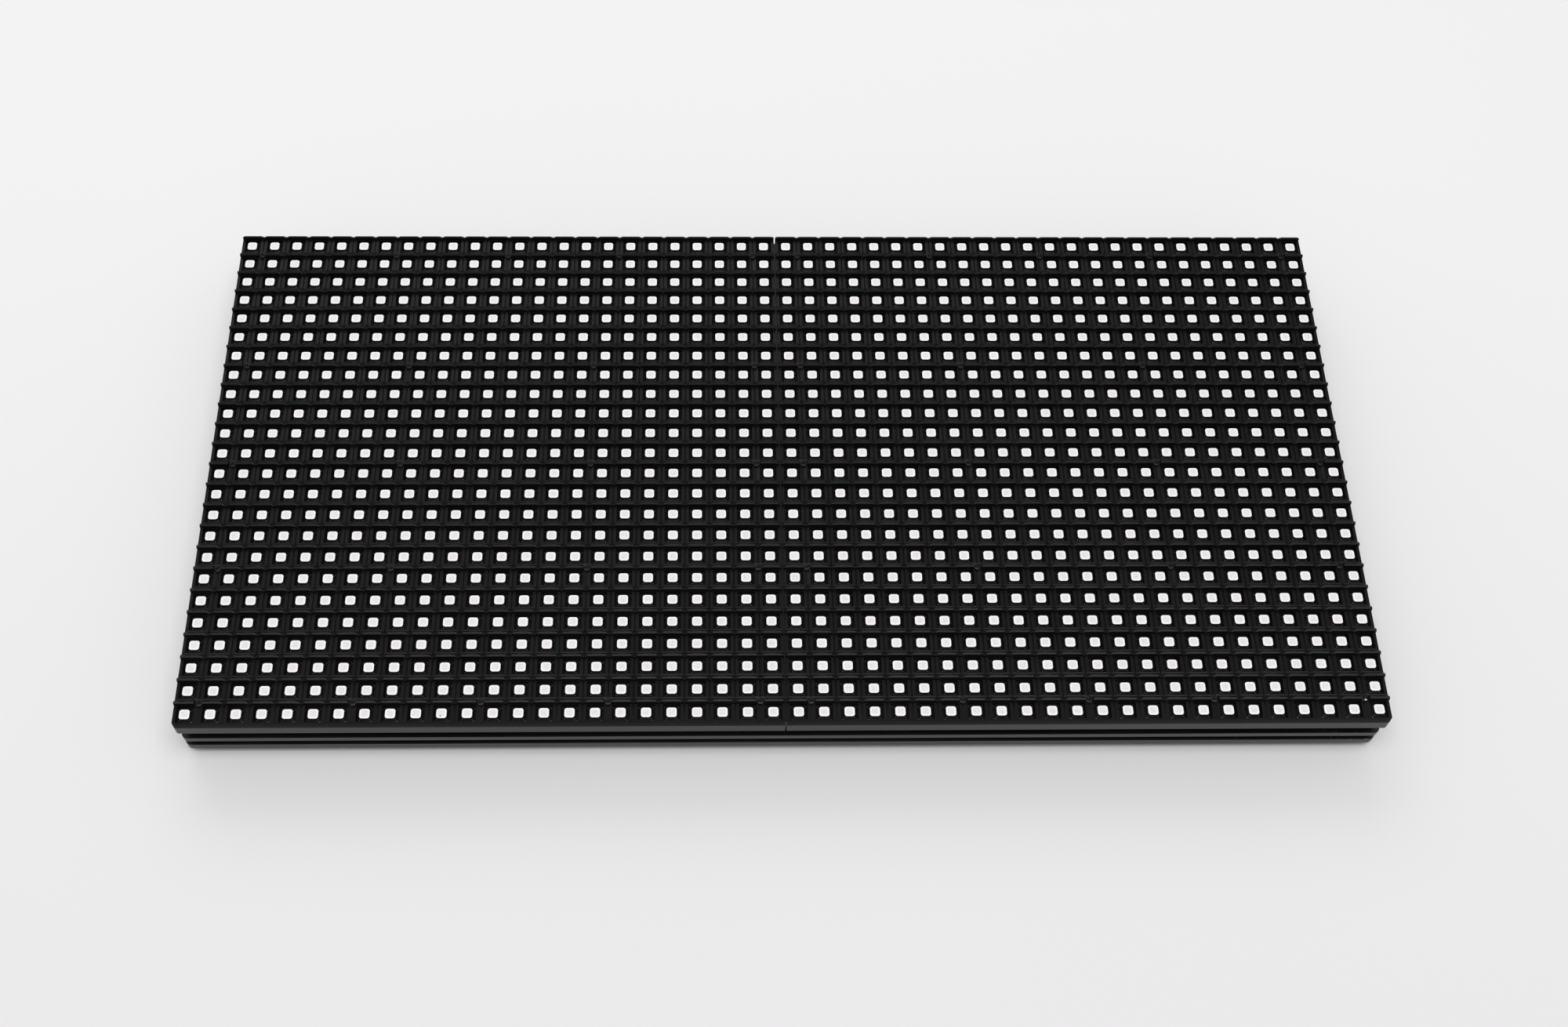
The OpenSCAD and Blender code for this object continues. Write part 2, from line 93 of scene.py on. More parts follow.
class Signal:
    """A shader socket that Python expressions can use; every operation adds its node."""

    def __init__(self, tree: bpy.types.NodeTree, socket: bpy.types.NodeSocket) -> None:
        """Wraps one output socket of a node tree."""
        self.tree = tree
        self.socket = socket

    def add(
        self,
        kind: str,
        settings: Optional[dict[str, Any]] = None,
        sockets: Optional[dict[Union[str, int], Any]] = None,
        out: Union[str, int] = 0,
    ) -> "Signal":
        """Adds any node to the tree.

        Args:
            kind: The node's type.
            settings: Properties of the node, set first; "stops" fills a colour ramp.
            sockets: Values or signals for the node's inputs, by name or place.
            out: The output that is returned.

        Returns:
            The chosen output as a signal.
        """
        node = self.tree.nodes.new(kind)
        for key, value in (settings or {}).items():
            if key == "stops":
                fill_ramp(node.color_ramp, value)
            else:
                setattr(node, key, value)
        for key, value in (sockets or {}).items():
            if isinstance(value, Signal):
                self.tree.links.new(value.socket, node.inputs[key])
            else:
                node.inputs[key].default_value = value
        return Signal(self.tree, node.outputs[out])

    def math(self, operation: str, *values: Any) -> "Signal":
        """Adds a Math node with the given operation on the given values."""
        return self.add("ShaderNodeMath", {"operation": operation}, dict(enumerate(values)))

    def __add__(self, other: Any) -> "Signal":
        """Sum."""
        return self.math("ADD", self, other)

    def __radd__(self, other: Any) -> "Signal":
        """Sum, reflected."""
        return self.math("ADD", other, self)

    def __sub__(self, other: Any) -> "Signal":
        """Difference."""
        return self.math("SUBTRACT", self, other)

    def __rsub__(self, other: Any) -> "Signal":
        """Difference, reflected."""
        return self.math("SUBTRACT", other, self)

    def __mul__(self, other: Any) -> "Signal":
        """Product."""
        return self.math("MULTIPLY", self, other)

    def __rmul__(self, other: Any) -> "Signal":
        """Product, reflected."""
        return self.math("MULTIPLY", other, self)

    def __truediv__(self, other: Any) -> "Signal":
        """Quotient."""
        return self.math("DIVIDE", self, other)

    def __rtruediv__(self, other: Any) -> "Signal":
        """Quotient, reflected."""
        return self.math("DIVIDE", other, self)

    def __pow__(self, other: Any) -> "Signal":
        """Power."""
        return self.math("POWER", self, other)

    def __rpow__(self, other: Any) -> "Signal":
        """Power, reflected."""
        return self.math("POWER", other, self)

    def __abs__(self) -> "Signal":
        """Size without its sign."""
        return self.math("ABSOLUTE", self)

    def floor(self) -> "Signal":
        """Whole part, rounded down."""
        return self.math("FLOOR", self)

    def wrap(self, period: float) -> "Signal":
        """Distance from the middle of the period that the value lies in."""
        return self.math("FLOORED_MODULO", self, period) - period / 2

    def most(self, other: Any) -> "Signal":
        """The larger of two values."""
        return self.math("MAXIMUM", self, other)

    def least(self, other: Any) -> "Signal":
        """The smaller of two values."""
        return self.math("MINIMUM", self, other)

    def rise(self, low: float, high: float) -> "Signal":
        """Smooth step from 0 at low to 1 at high."""
        settings = {"interpolation_type": "SMOOTHSTEP"}
        return self.add("ShaderNodeMapRange", settings, {0: self, 1: low, 2: high, 3: 0.0, 4: 1.0})

    def blend(self, first: Any, second: Any) -> "Signal":
        """Mixes two colours, with this signal as the share of the second."""
        ends = [c if isinstance(c, Signal) else (*c, 1.0) for c in (first, second)]
        return self.add("ShaderNodeMix", {"data_type": "RGBA"}, {0: self, 6: ends[0], 7: ends[1]}, 2)

    def axes(self) -> tuple["Signal", ...]:
        """The three parts of a vector."""
        node = self.add("ShaderNodeSeparateXYZ", None, {0: self}).socket.node
        return tuple(Signal(self.tree, part) for part in node.outputs)


def fill_ramp(ramp: bpy.types.ColorRamp, stops: Sequence[tuple[float, Color]]) -> None:
    """Sets a colour ramp's stops.

    Args:
        ramp: The ramp of a node that has just been added.
        stops: Place and colour of each stop, two or more.
    """
    while len(ramp.elements) < len(stops):
        ramp.elements.new(0.5)
    for element, (place, color) in zip(ramp.elements, stops):
        element.position = place
        element.color = (*color, 1.0)


class Surface:
    """One material with a Principled shader that a finish fills in."""

    def __init__(self, name: str) -> None:
        """Makes the material, its shader and its Object coordinates.

        Args:
            name: Name of the material.
        """
        self.material = bpy.data.materials.new(name)
        self.material.use_nodes = True
        tree = self.material.node_tree
        self.shader = tree.nodes["Principled BSDF"]
        self.place = Signal(tree, tree.nodes.new("ShaderNodeTexCoord").outputs["Object"])

    def put(self, socket: str, value: Any) -> None:
        """Feeds a shader socket.

        Args:
            socket: Name of the socket.
            value: A signal, which is linked, or a constant, which is set on the socket.
        """
        target = self.shader.inputs[socket]
        if isinstance(value, Signal):
            value.tree.links.new(value.socket, target)
        else:
            target.default_value = value

    def noise(self, size: float, detail: float = 2.0, stretch: Optional[Triple] = None) -> Signal:
        """Adds a noise over the object.

        Args:
            size: Size of its larger features in millimetres.
            detail: Octaves of finer noise.
            stretch: Share of the size along each axis, if not 1.

        Returns:
            The noise from 0 to 1.
        """
        place = self.place
        if stretch:
            scale = tuple(1.0 / s for s in stretch)
            place = place.add("ShaderNodeVectorMath", {"operation": "MULTIPLY"}, {0: place, 1: scale})
        sockets = {"Vector": place, "Scale": 1.0 / (size * MM), "Detail": detail, "Roughness": 0.55}
        return place.add("ShaderNodeTexNoise", None, sockets, "Fac")

    def spot(self, middle: Triple, radius: float) -> Signal:
        """Adds a round spot whose edge is soft over half of its radius.

        Args:
            middle: Its place in millimetres.
            radius: Its radius in millimetres.

        Returns:
            1 in the spot, 0 away from it.
        """
        sockets = {0: self.place, 1: tuple(c * MM for c in middle)}
        away = self.place.add("ShaderNodeVectorMath", {"operation": "DISTANCE"}, sockets, "Value")
        return 1.0 - (away / MM).rise(0.75 * radius, 1.25 * radius)

    def bump(self, height: Signal, depth: float) -> None:
        """Feeds the normal with a bump; a height of 1 stands for the depth in millimetres."""
        sockets = {"Height": height, "Distance": depth * MM}
        self.put("Normal", height.add("ShaderNodeBump", None, sockets, "Normal"))


# Finishes


@dataclass(frozen=True)
class Finish:
    """A finish, which makes one material of its own name."""

    name: str

    def build(self) -> Material:
        """Makes the material.

        Returns:
            The material, with its shader filled in.
        """
        surface = Surface(self.name)
        self.fill(surface)
        return surface.material

    def fill(self, s: Surface) -> None:
        """Fills in the shader of a surface; each finish has its own way."""
        raise NotImplementedError


@dataclass(frozen=True)
class MouldedPlastic(Finish):
    """Moulded plastic: fine grain, soft cloudy change of gloss and a faint change of shade.

    It may have a smooth skin below a height, and dust at one end of its front.
    """

    color: Color = (0.0060, 0.0060, 0.0064)
    lighter: Color = (0.0090, 0.0090, 0.0095)
    rough: float = 0.34
    rough_swing: float = 0.10
    grain: float = 0.22
    grain_depth: float = 0.012
    cloud: float = 14.0
    gloss: float = 0.5
    ior: float = 1.55
    smooth_below: Optional[float] = None
    skin: float = 0.26
    skin_rough: float = 0.3
    skin_fade: float = 0.1
    dust_from: Optional[float] = None
    dust_reach: float = 40.0
    dust_front: tuple[float, float] = (-78.2, -77.8)
    dust_grain: float = 0.9
    dust: Color = (0.16, 0.155, 0.15)

    def fill(self, s: Surface) -> None:
        """Fills in the shader: clouds and grain mix the two shades, and dust lies over them.

        Args:
            s: The surface that takes the finish.
        """
        cloud = s.noise(self.cloud, 3.0)
        fine = s.noise(self.grain)
        shade = (0.7 * cloud + 0.3 * fine).rise(0.35, 0.7).blend(self.color, self.lighter)
        if self.smooth_below is not None:
            _, _, z = s.place.axes()
            above = (z / MM).rise(self.smooth_below - self.skin_fade, self.smooth_below + self.skin_fade)
            s.put("Coat Weight", self.skin - self.skin * above)
            s.put("Coat Roughness", self.skin_rough)
            s.put("Coat IOR", self.ior)
        if self.dust_from is not None:
            x, y, _ = s.place.axes()
            end = (x / MM).rise(self.dust_from, self.dust_from + self.dust_reach)
            front = 1.0 - (y / MM).rise(*self.dust_front)
            specks = s.noise(self.dust_grain, 1.0).rise(0.68, 0.74)
            shade = (end * front * specks).blend(shade, self.dust)
        s.put("Specular IOR Level", self.gloss)
        s.put("Base Color", shade)
        s.put("Roughness", self.rough - self.rough_swing / 2 + self.rough_swing * cloud)
        s.put("IOR", self.ior)
        s.bump(fine, self.grain_depth)


@dataclass(frozen=True)
class LampResin(Finish):
    """Lamp package: white face, milky mottled resin window, black sides, a slight tint for each lamp.

    One lamp has a dark speck on its face.
    """

    pitch: float
    face_z: float
    white: Color = (0.93, 0.93, 0.92)
    resin: Color = (0.68, 0.68, 0.665)
    black: Color = (0.012, 0.012, 0.013)
    pink: Color = (1.0, 0.955, 0.965)
    green: Color = (0.965, 1.0, 0.975)
    tint_share: float = 0.7
    window: float = 0.92
    window_r: float = 0.45
    window_fade: tuple[float, float] = (0.2, 0.12)
    mottle: float = 0.35
    side_fade: tuple[float, float] = (0.16, 0.08)
    speck: Triple = (-90.25, -77.45, 20.4)
    speck_r: float = 0.19
    ior: float = 1.48

    def fill(self, s: Surface) -> None:
        """Fills in the shader; a lamp's own axes are the object's, wrapped at the lamp pitch.

        Args:
            s: The surface that takes the finish.
        """
        x, y, z = s.place.axes()
        pitch, r = self.pitch * MM, self.window_r
        u, v = x.wrap(pitch) / MM, y.wrap(pitch) / MM
        cell = s.place.add("ShaderNodeCombineXYZ", None, {0: (x / pitch).floor(), 1: (y / pitch).floor()})
        draw = s.place.add("ShaderNodeTexWhiteNoise", {"noise_dimensions": "2D"}, {"Vector": cell})
        reach = self.window - r
        dx, dy = (abs(u) - reach).most(0.0), (abs(v) - reach).most(0.0)
        away = (dx * dx + dy * dy) ** 0.5
        inside = 1.0 - away.rise(r - self.window_fade[0], r + self.window_fade[1])
        mottle = s.noise(self.mottle, 3.0).rise(0.42, 0.66)
        milky = (inside * (0.45 + 0.55 * mottle)).blend(self.white, self.resin)
        tint = draw.rise(0.15, 0.85).blend(self.pink, self.green)
        mix = {"data_type": "RGBA", "blend_type": "MULTIPLY"}
        face = tint.add("ShaderNodeMix", mix, {0: self.tint_share, 6: milky, 7: tint}, 2)
        side = 1.0 - (z / MM).rise(self.face_z - self.side_fade[0], self.face_z - self.side_fade[1])
        dark = side.most(0.95 * s.spot(self.speck, self.speck_r))
        s.put("Base Color", dark.blend(face, self.black))
        s.put("Roughness", 0.42 - 0.14 * inside)
        s.put("IOR", self.ior)


@dataclass(frozen=True)
class PottingGel(Finish):
    """Black silicone poured around the lamps: glossy, with shallow ripples."""

    color: Color = (0.0040, 0.0040, 0.0046)
    paler: float = 1.7
    rough: float = 0.34
    rough_swing: float = 0.1
    ripple: float = 3.0
    ripple_depth: float = 0.05
    ior: float = 1.42

    def fill(self, s: Surface) -> None:
        """Fills in the shader: the ripples carry the shade, the gloss and the bump.

        Args:
            s: The surface that takes the finish.
        """
        ripple = s.noise(self.ripple)
        s.put("Base Color", ripple.blend(self.color, tuple(self.paler * c for c in self.color)))
        s.put("Roughness", self.rough - self.rough_swing / 2 + self.rough_swing * ripple)
        s.put("IOR", self.ior)
        s.bump(ripple, self.ripple_depth)


@dataclass(frozen=True)
class PlainMetal(Finish):
    """Drawn, plated or turned metal with fine marks along one axis."""

    metal: Metal
    rough: float = 0.3
    mark: Triple = (1.0, 1.0, 1.0)
    mark_size: float = 0.25
    mark_depth: float = 0.006
    dull: float = 0.8
    cloud: float = 4.0
    rough_swing: float = 0.12

    def fill(self, s: Surface) -> None:
        """Fills in the shader: clouds dull the metal, and the marks lie in its gloss and bump.

        Args:
            s: The surface that takes the finish.
        """
        marks = s.noise(self.mark_size, 2.0, self.mark)
        cloud = s.noise(self.cloud)
        color = self.metal.value
        s.put("Base Color", cloud.rise(0.3, 0.75).blend(color, tuple(c * self.dull for c in color)))
        s.put("Metallic", 1.0)
        uneven = 0.5 * marks + 0.5 * cloud
        s.put("Roughness", self.rough - self.rough_swing / 2 + self.rough_swing * uneven)
        s.bump(marks, self.mark_depth)


@dataclass(frozen=True)
class BlackScrew(Finish):
    """Black-coated steel that is slightly rubbed where the driver and the mask touch it.

    One screw holds a white crumb of dirt.
    """

    color: Color = (0.005, 0.005, 0.0054)
    rubbed: Color = (0.012, 0.012, 0.0125)
    dirt: Color = (0.86, 0.86, 0.84)
    crumb: Triple = (153.5, -73.9, 20.4)
    crumb_r: float = 0.27
    rough: float = 0.38
    gloss: float = 0.2
    wear: float = 0.6
    grain: float = 0.2
    grain_depth: float = 0.006

    def fill(self, s: Surface) -> None:
        """Fills in the shader: wear mixes the two blacks, and the crumb lies over them.

        Args:
            s: The surface that takes the finish.
        """
        wear = s.noise(self.wear, 3.0).rise(0.5, 0.72)
        steel = wear.blend(self.color, self.rubbed)
        s.put("Base Color", s.spot(self.crumb, self.crumb_r).blend(steel, self.dirt))
        s.put("Roughness", self.rough + 0.1 * wear)
        s.put("Specular IOR Level", self.gloss)
        s.bump(s.noise(self.grain), self.grain_depth)


@dataclass(frozen=True)
class SolderMask(Finish):
    """Green solder mask over copper traces, with tinned via rings on a grid."""

    green: Color = (0.008, 0.052, 0.026)
    over_copper: Color = (0.016, 0.085, 0.040)
    tin: Color = (0.45, 0.45, 0.42)
    patch: float = 26.0
    wander: float = 0.6
    wander_size: float = 9.0
    trace_step: float = 1.27
    trace_edge: tuple[float, float] = (0.22, 0.30)
    copper: float = 12.0
    via_step: float = 5.08
    via_edge: tuple[float, float] = (0.30, 0.36)
    via_size: float = 7.0
    copper_depth: float = 0.03

    def fill(self, s: Surface) -> None:
        """Fills in the shader; traces follow X or Y by broad patches of the board.

        Args:
            s: The surface that takes the finish.
        """
        x, y, _ = s.place.axes()
        x, y = x / MM, y / MM
        patch = s.noise(self.patch, 0.0).rise(0.49, 0.51)
        wander = self.wander * s.noise(self.wander_size, 0.0)
        along = patch * (y + wander) + (1.0 - patch) * (x + wander)
        line = 1.0 - abs(along.wrap(self.trace_step)).rise(*self.trace_edge)
        copper = line * s.noise(self.copper, 0.0).rise(0.40, 0.44)
        ring = (x.wrap(self.via_step) ** 2.0 + y.wrap(self.via_step) ** 2.0) ** 0.5
        via = (1.0 - ring.rise(*self.via_edge)) * s.noise(self.via_size, 0.0).rise(0.52, 0.54)
        body = copper.blend(self.green, self.over_copper)
        s.put("Base Color", via.blend(body, self.tin))
        s.put("Metallic", via)
        s.put("Roughness", 0.28 + 0.08 * s.noise(2.0))
        s.bump((copper + via).least(1.0), self.copper_depth)


@dataclass(frozen=True)
class TableTopWithPaintedShade(Finish):
    """Matte pale table, faintly mottled, with painted shade: a little darker towards the front, paler
    towards the back.
    """

    # Painted shade: front is the table colour darkened by painted shade, back is the paler colour behind,
    # and fade is the span along Y in millimetres where one turns into the other.
    front: Color = (0.794, 0.786, 0.791)
    back: Color = (0.853, 0.853, 0.861)
    fade: tuple[float, float] = (-260.0, 160.0)
    mottle: float = 180.0
    grain: float = 3.0

    def fill(self, s: Surface) -> None:
        """Fills in the shader: the painted shade fades from the front to the back, and the mottle moves it
        a little.

        Args:
            s: The surface that takes the finish.
        """
        _, y, _ = s.place.axes()
        # Painted shade: the colour darkens from the back towards the front.
        share = (y / MM).rise(*self.fade) + 0.2 * s.noise(self.mottle) - 0.1
        s.put("Base Color", share.blend(self.front, self.back))
        s.put("Roughness", 0.75 + 0.1 * s.noise(self.grain))


# Meshes


def add_object(name: str, data: bpy.types.ID) -> bpy.types.Object:
    """Makes an object at the origin and puts it into the scene.

    Args:
        name: Name of the object.
        data: Its mesh, light or camera.

    Returns:
        The new object.
    """
    obj = bpy.data.objects.new(name, data)
    bpy.context.scene.collection.objects.link(obj)
    return obj


class Patchwork:
    """Collects grids, polygons and repeated shapes as arrays, then joins them into one mesh."""

    def __init__(self) -> None:
        """Starts with nothing in it."""
        self.points: list[Array] = []
        self.faces: list[Array] = []
        self.count = 0

    def take(self, points: Array, faces: Sequence[Array]) -> None:
        """Adds points and their faces.

        Args:
            points: Places, with three numbers along the last axis.
            faces: Arrays of faces that count from the first of these points.
        """
        self.points.append(points.reshape(-1, 3))
        self.faces.extend(f + self.count for f in faces if len(f))
        self.count += points.size // 3

    def grid(self, points: Array, keep: Optional[Array] = None) -> None:
        """Adds a grid of quads.

        Args:
            points: Corner places (m, n, 3).
            keep: Which of the (m - 1, n - 1) quads are made, all if not given.
        """
        m, n = points.shape[:2]
        index = np.arange(m * n).reshape(m, n)
        quads = np.stack([index[:-1, :-1], index[1:, :-1], index[1:, 1:], index[:-1, 1:]], axis=-1)
        self.take(points, [quads.reshape(-1, 4) if keep is None else quads[keep]])

    def polygons(self, corners: Array) -> None:
        """Adds polygons of equal length, corners (p, c, 3)."""
        p, c = corners.shape[:2]
        self.take(corners, [np.arange(p * c).reshape(p, c)])

    def copies(self, points: Array, faces: Sequence[Array]) -> None:
        """Adds k copies of a shape with v points.

        Args:
            points: Places of all copies (k, v, 3).
            faces: Arrays of faces of one copy.
        """
        k, v = points.shape[:2]
        first = (np.arange(k) * v)[:, None, None]
        self.take(points, [(f[None] + first).reshape(-1, f.shape[1]) for f in faces])

    def turn_to(self, side: Side) -> None:
        """Mirrors everything in X for the left half."""
        self.points = [p * [side.value, 1.0, 1.0] for p in self.points]

    def mesh(self, name: str) -> bpy.types.Mesh:
        """Joins everything: points that coincide become one, and faces turn outwards.

        Args:
            name: Name of the mesh.

        Returns:
            The mesh, in metres.
        """
        mesh = bpy.data.meshes.new(name)
        faces = [row for block in self.faces for row in block.tolist()]
        mesh.from_pydata((np.concatenate(self.points) * MM).tolist(), [], faces)
        work = bmesh.new()
        work.from_mesh(mesh)
        bmesh.ops.remove_doubles(work, verts=work.verts, dist=WELD)
        bmesh.ops.recalc_face_normals(work, faces=work.faces)
        work.to_mesh(mesh)
        work.free()
        return mesh

    def piece(
        self, name: str, finish: Material, slot: str, stands_for: Sequence[str] = (), sharp: float = 32.0
    ) -> None:
        """Makes the object that rides on the module.

        Args:
            name: Name of the piece.
            finish: Its material.
            slot: The record's material slot for the piece; not used.
            stands_for: CAD nodes that it replaces.
            sharp: Angle in degrees past which an edge stays sharp.
        """
        mesh = self.mesh(name)
        mesh.materials.append(finish)
        mesh.shade_smooth()
        mesh.set_sharp_from_angle(angle=math.radians(sharp))
        obj = add_object(name, mesh)
        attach(obj, BODY)
        if stands_for:
            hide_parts(*stands_for)
        LOG.info("%s: %d points, %d faces", name, len(mesh.vertices), len(mesh.polygons))


def tube(rings: int, around: int) -> list[Array]:
    """Faces of a tube that is closed at both ends.

    Args:
        rings: Rings along the tube, each with the same number of points.
        around: Points in a ring.

    Returns:
        One array of quads, and one with the two end polygons.
    """
    index = np.arange(rings * around).reshape(rings, around)
    turned = np.roll(index, -1, axis=1)
    quads = np.stack([index[:-1], turned[:-1], turned[1:], index[1:]], axis=-1).reshape(-1, 4)
    return [quads, np.stack([index[0, ::-1], index[-1]])]


def rounded_square(half: float, radius: float, steps: int) -> Array:
    """Outline of a square with round corners: each corner is a quarter circle in equal steps.

    Args:
        half: Half of the side.
        radius: Corner radius.
        steps: Segments in a corner.

    Returns:
        The outline (4 * steps + 4, 2), anticlockwise.
    """
    turn = np.arange(4)[:, None] * (np.pi / 2) + np.linspace(0.0, np.pi / 2, steps + 1)
    corner = np.arange(4)[:, None] * (np.pi / 2) + np.pi / 4
    middle = np.sqrt(2.0) * (half - radius)
    x = np.round(middle * np.cos(corner), 9) + radius * np.cos(turn)
    y = np.round(middle * np.sin(corner), 9) + radius * np.sin(turn)
    return np.stack([x, y], axis=-1).reshape(-1, 2)


def at_height(points: Array, z: float) -> Array:
    """Points (..., 2) or (..., 3) brought to one height, as (..., 3)."""
    return np.concatenate([points[..., :2], np.full(points.shape[:-1] + (1,), z)], axis=-1)


def sweep_strip(path: Array, thick: float, width: float) -> tuple[Array, list[Array]]:
    """A flat strip bent along a path in its Y-Z plane: at each path point a rectangle stands square to
    the mean direction of the two segments that meet there.

    Args:
        path: Middle line (n, 2) as Y and Z.
        thick: Thickness of the strip.
        width: Width along X.

    Returns:
        Points (4 n, 3) and faces.
    """
    step = np.diff(path, axis=0)
    step /= np.linalg.norm(step, axis=1)[:, None]
    mean = np.vstack([step[:1], step[:-1] + step[1:], step[-1:]])
    mean /= np.linalg.norm(mean, axis=1)[:, None]
    normal = np.column_stack([-mean[:, 1], mean[:, 0]]) * thick / 2
    x = np.array([-1, 1, 1, -1]) * width / 2
    s = np.array([-1, -1, 1, 1])
    yz = path[:, None, :] + s[None, :, None] * normal[:, None, :]
    points = np.concatenate([np.broadcast_to(x[None, :, None], yz.shape[:2] + (1,)), yz], axis=-1)
    return points.reshape(-1, 3), tube(len(path), 4)


# The module


@dataclass(frozen=True)
class Layout:
    """Grid and heights that every sub-assembly shares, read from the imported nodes."""

    columns: int
    rows: int
    pitch: float
    seam: float
    edge_x: float
    edge_y: float
    skirt_z: float
    tip_z: float
    lamp_z: float
    board_z: float
    seat_z: float
    head_z: float

    @classmethod
    def from_frame(cls, columns: int = 48, rows: int = 24, lamp_side: float = 2.7) -> "Layout":
        """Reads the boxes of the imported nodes, in millimetres.

        Args:
            columns: Lamps across both halves.
            rows: Lamps from the lower to the upper edge.
            lamp_side: Side of a lamp.

        Returns:
            The layout.
        """
        def box(node: str) -> tuple[list[float], list[float]]:
            """Lowest and highest corner of a node."""
            low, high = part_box(node)
            return [float(c) / MM for c in low], [float(c) / MM for c in high]

        mask_low, mask_high = box("mask_right")
        lamp_low, lamp_high = box("leds_right")
        board_low, _ = box("circuit_board")
        _, screw_high = box("mask_screws")
        pitch = (lamp_high[0] - lamp_low[0] - lamp_side) / (columns / 2 - 1)
        return cls(
            columns=columns, rows=rows, pitch=pitch, seam=mask_low[0], edge_x=mask_high[0],
            edge_y=mask_high[1], skirt_z=mask_low[2], tip_z=mask_high[2], lamp_z=lamp_high[2],
            board_z=lamp_low[2], seat_z=board_low[2], head_z=screw_high[2],
        )

    @property
    def end_x(self) -> float:
        """Outer boundary of the last column."""
        return self.columns / 2 * self.pitch

    @property
    def end_y(self) -> float:
        """Upper boundary of the last row."""
        return self.rows / 2 * self.pitch

    def cells_x(self) -> Array:
        """Boundaries between the columns of the right half."""
        return np.arange(1, self.columns // 2) * self.pitch

    def cells_y(self) -> Array:
        """Boundaries between the rows."""
        return (np.arange(1, self.rows) - self.rows / 2) * self.pitch

    def lamps_x(self) -> Array:
        """Lamp middles along X in the right half."""
        return (np.arange(self.columns // 2) + 0.5) * self.pitch

    def lamps_y(self) -> Array:
        """Lamp middles along Y."""
        return (np.arange(self.rows) - self.rows / 2 + 0.5) * self.pitch

    def lamp_places(self, side: Side) -> Array:
        """Lamp middles of one half (n, 2), row by row."""
        return np.stack(np.meshgrid(side.value * self.lamps_x(), self.lamps_y()), axis=-1).reshape(-1, 2)

    def screw_places(self) -> Array:
        """Places the mask screws, counted in cells from the middle of each half.

        Returns:
            Places in both halves (44, 2), on crossings of the grid.
        """
        outer = [(x, y) for y in (-11, 11) for x in (-11, -5, 0, 5, 11)]
        inner = [(x, y) for y in (-5, 0, 5) for x in (-11, -4, 4, 11)]
        half = np.array(outer + inner, float)
        shift = np.array([[-12.0, 0.0], [12.0, 0.0]])
        return (half[None] + shift[:, None]).reshape(-1, 2) * self.pitch


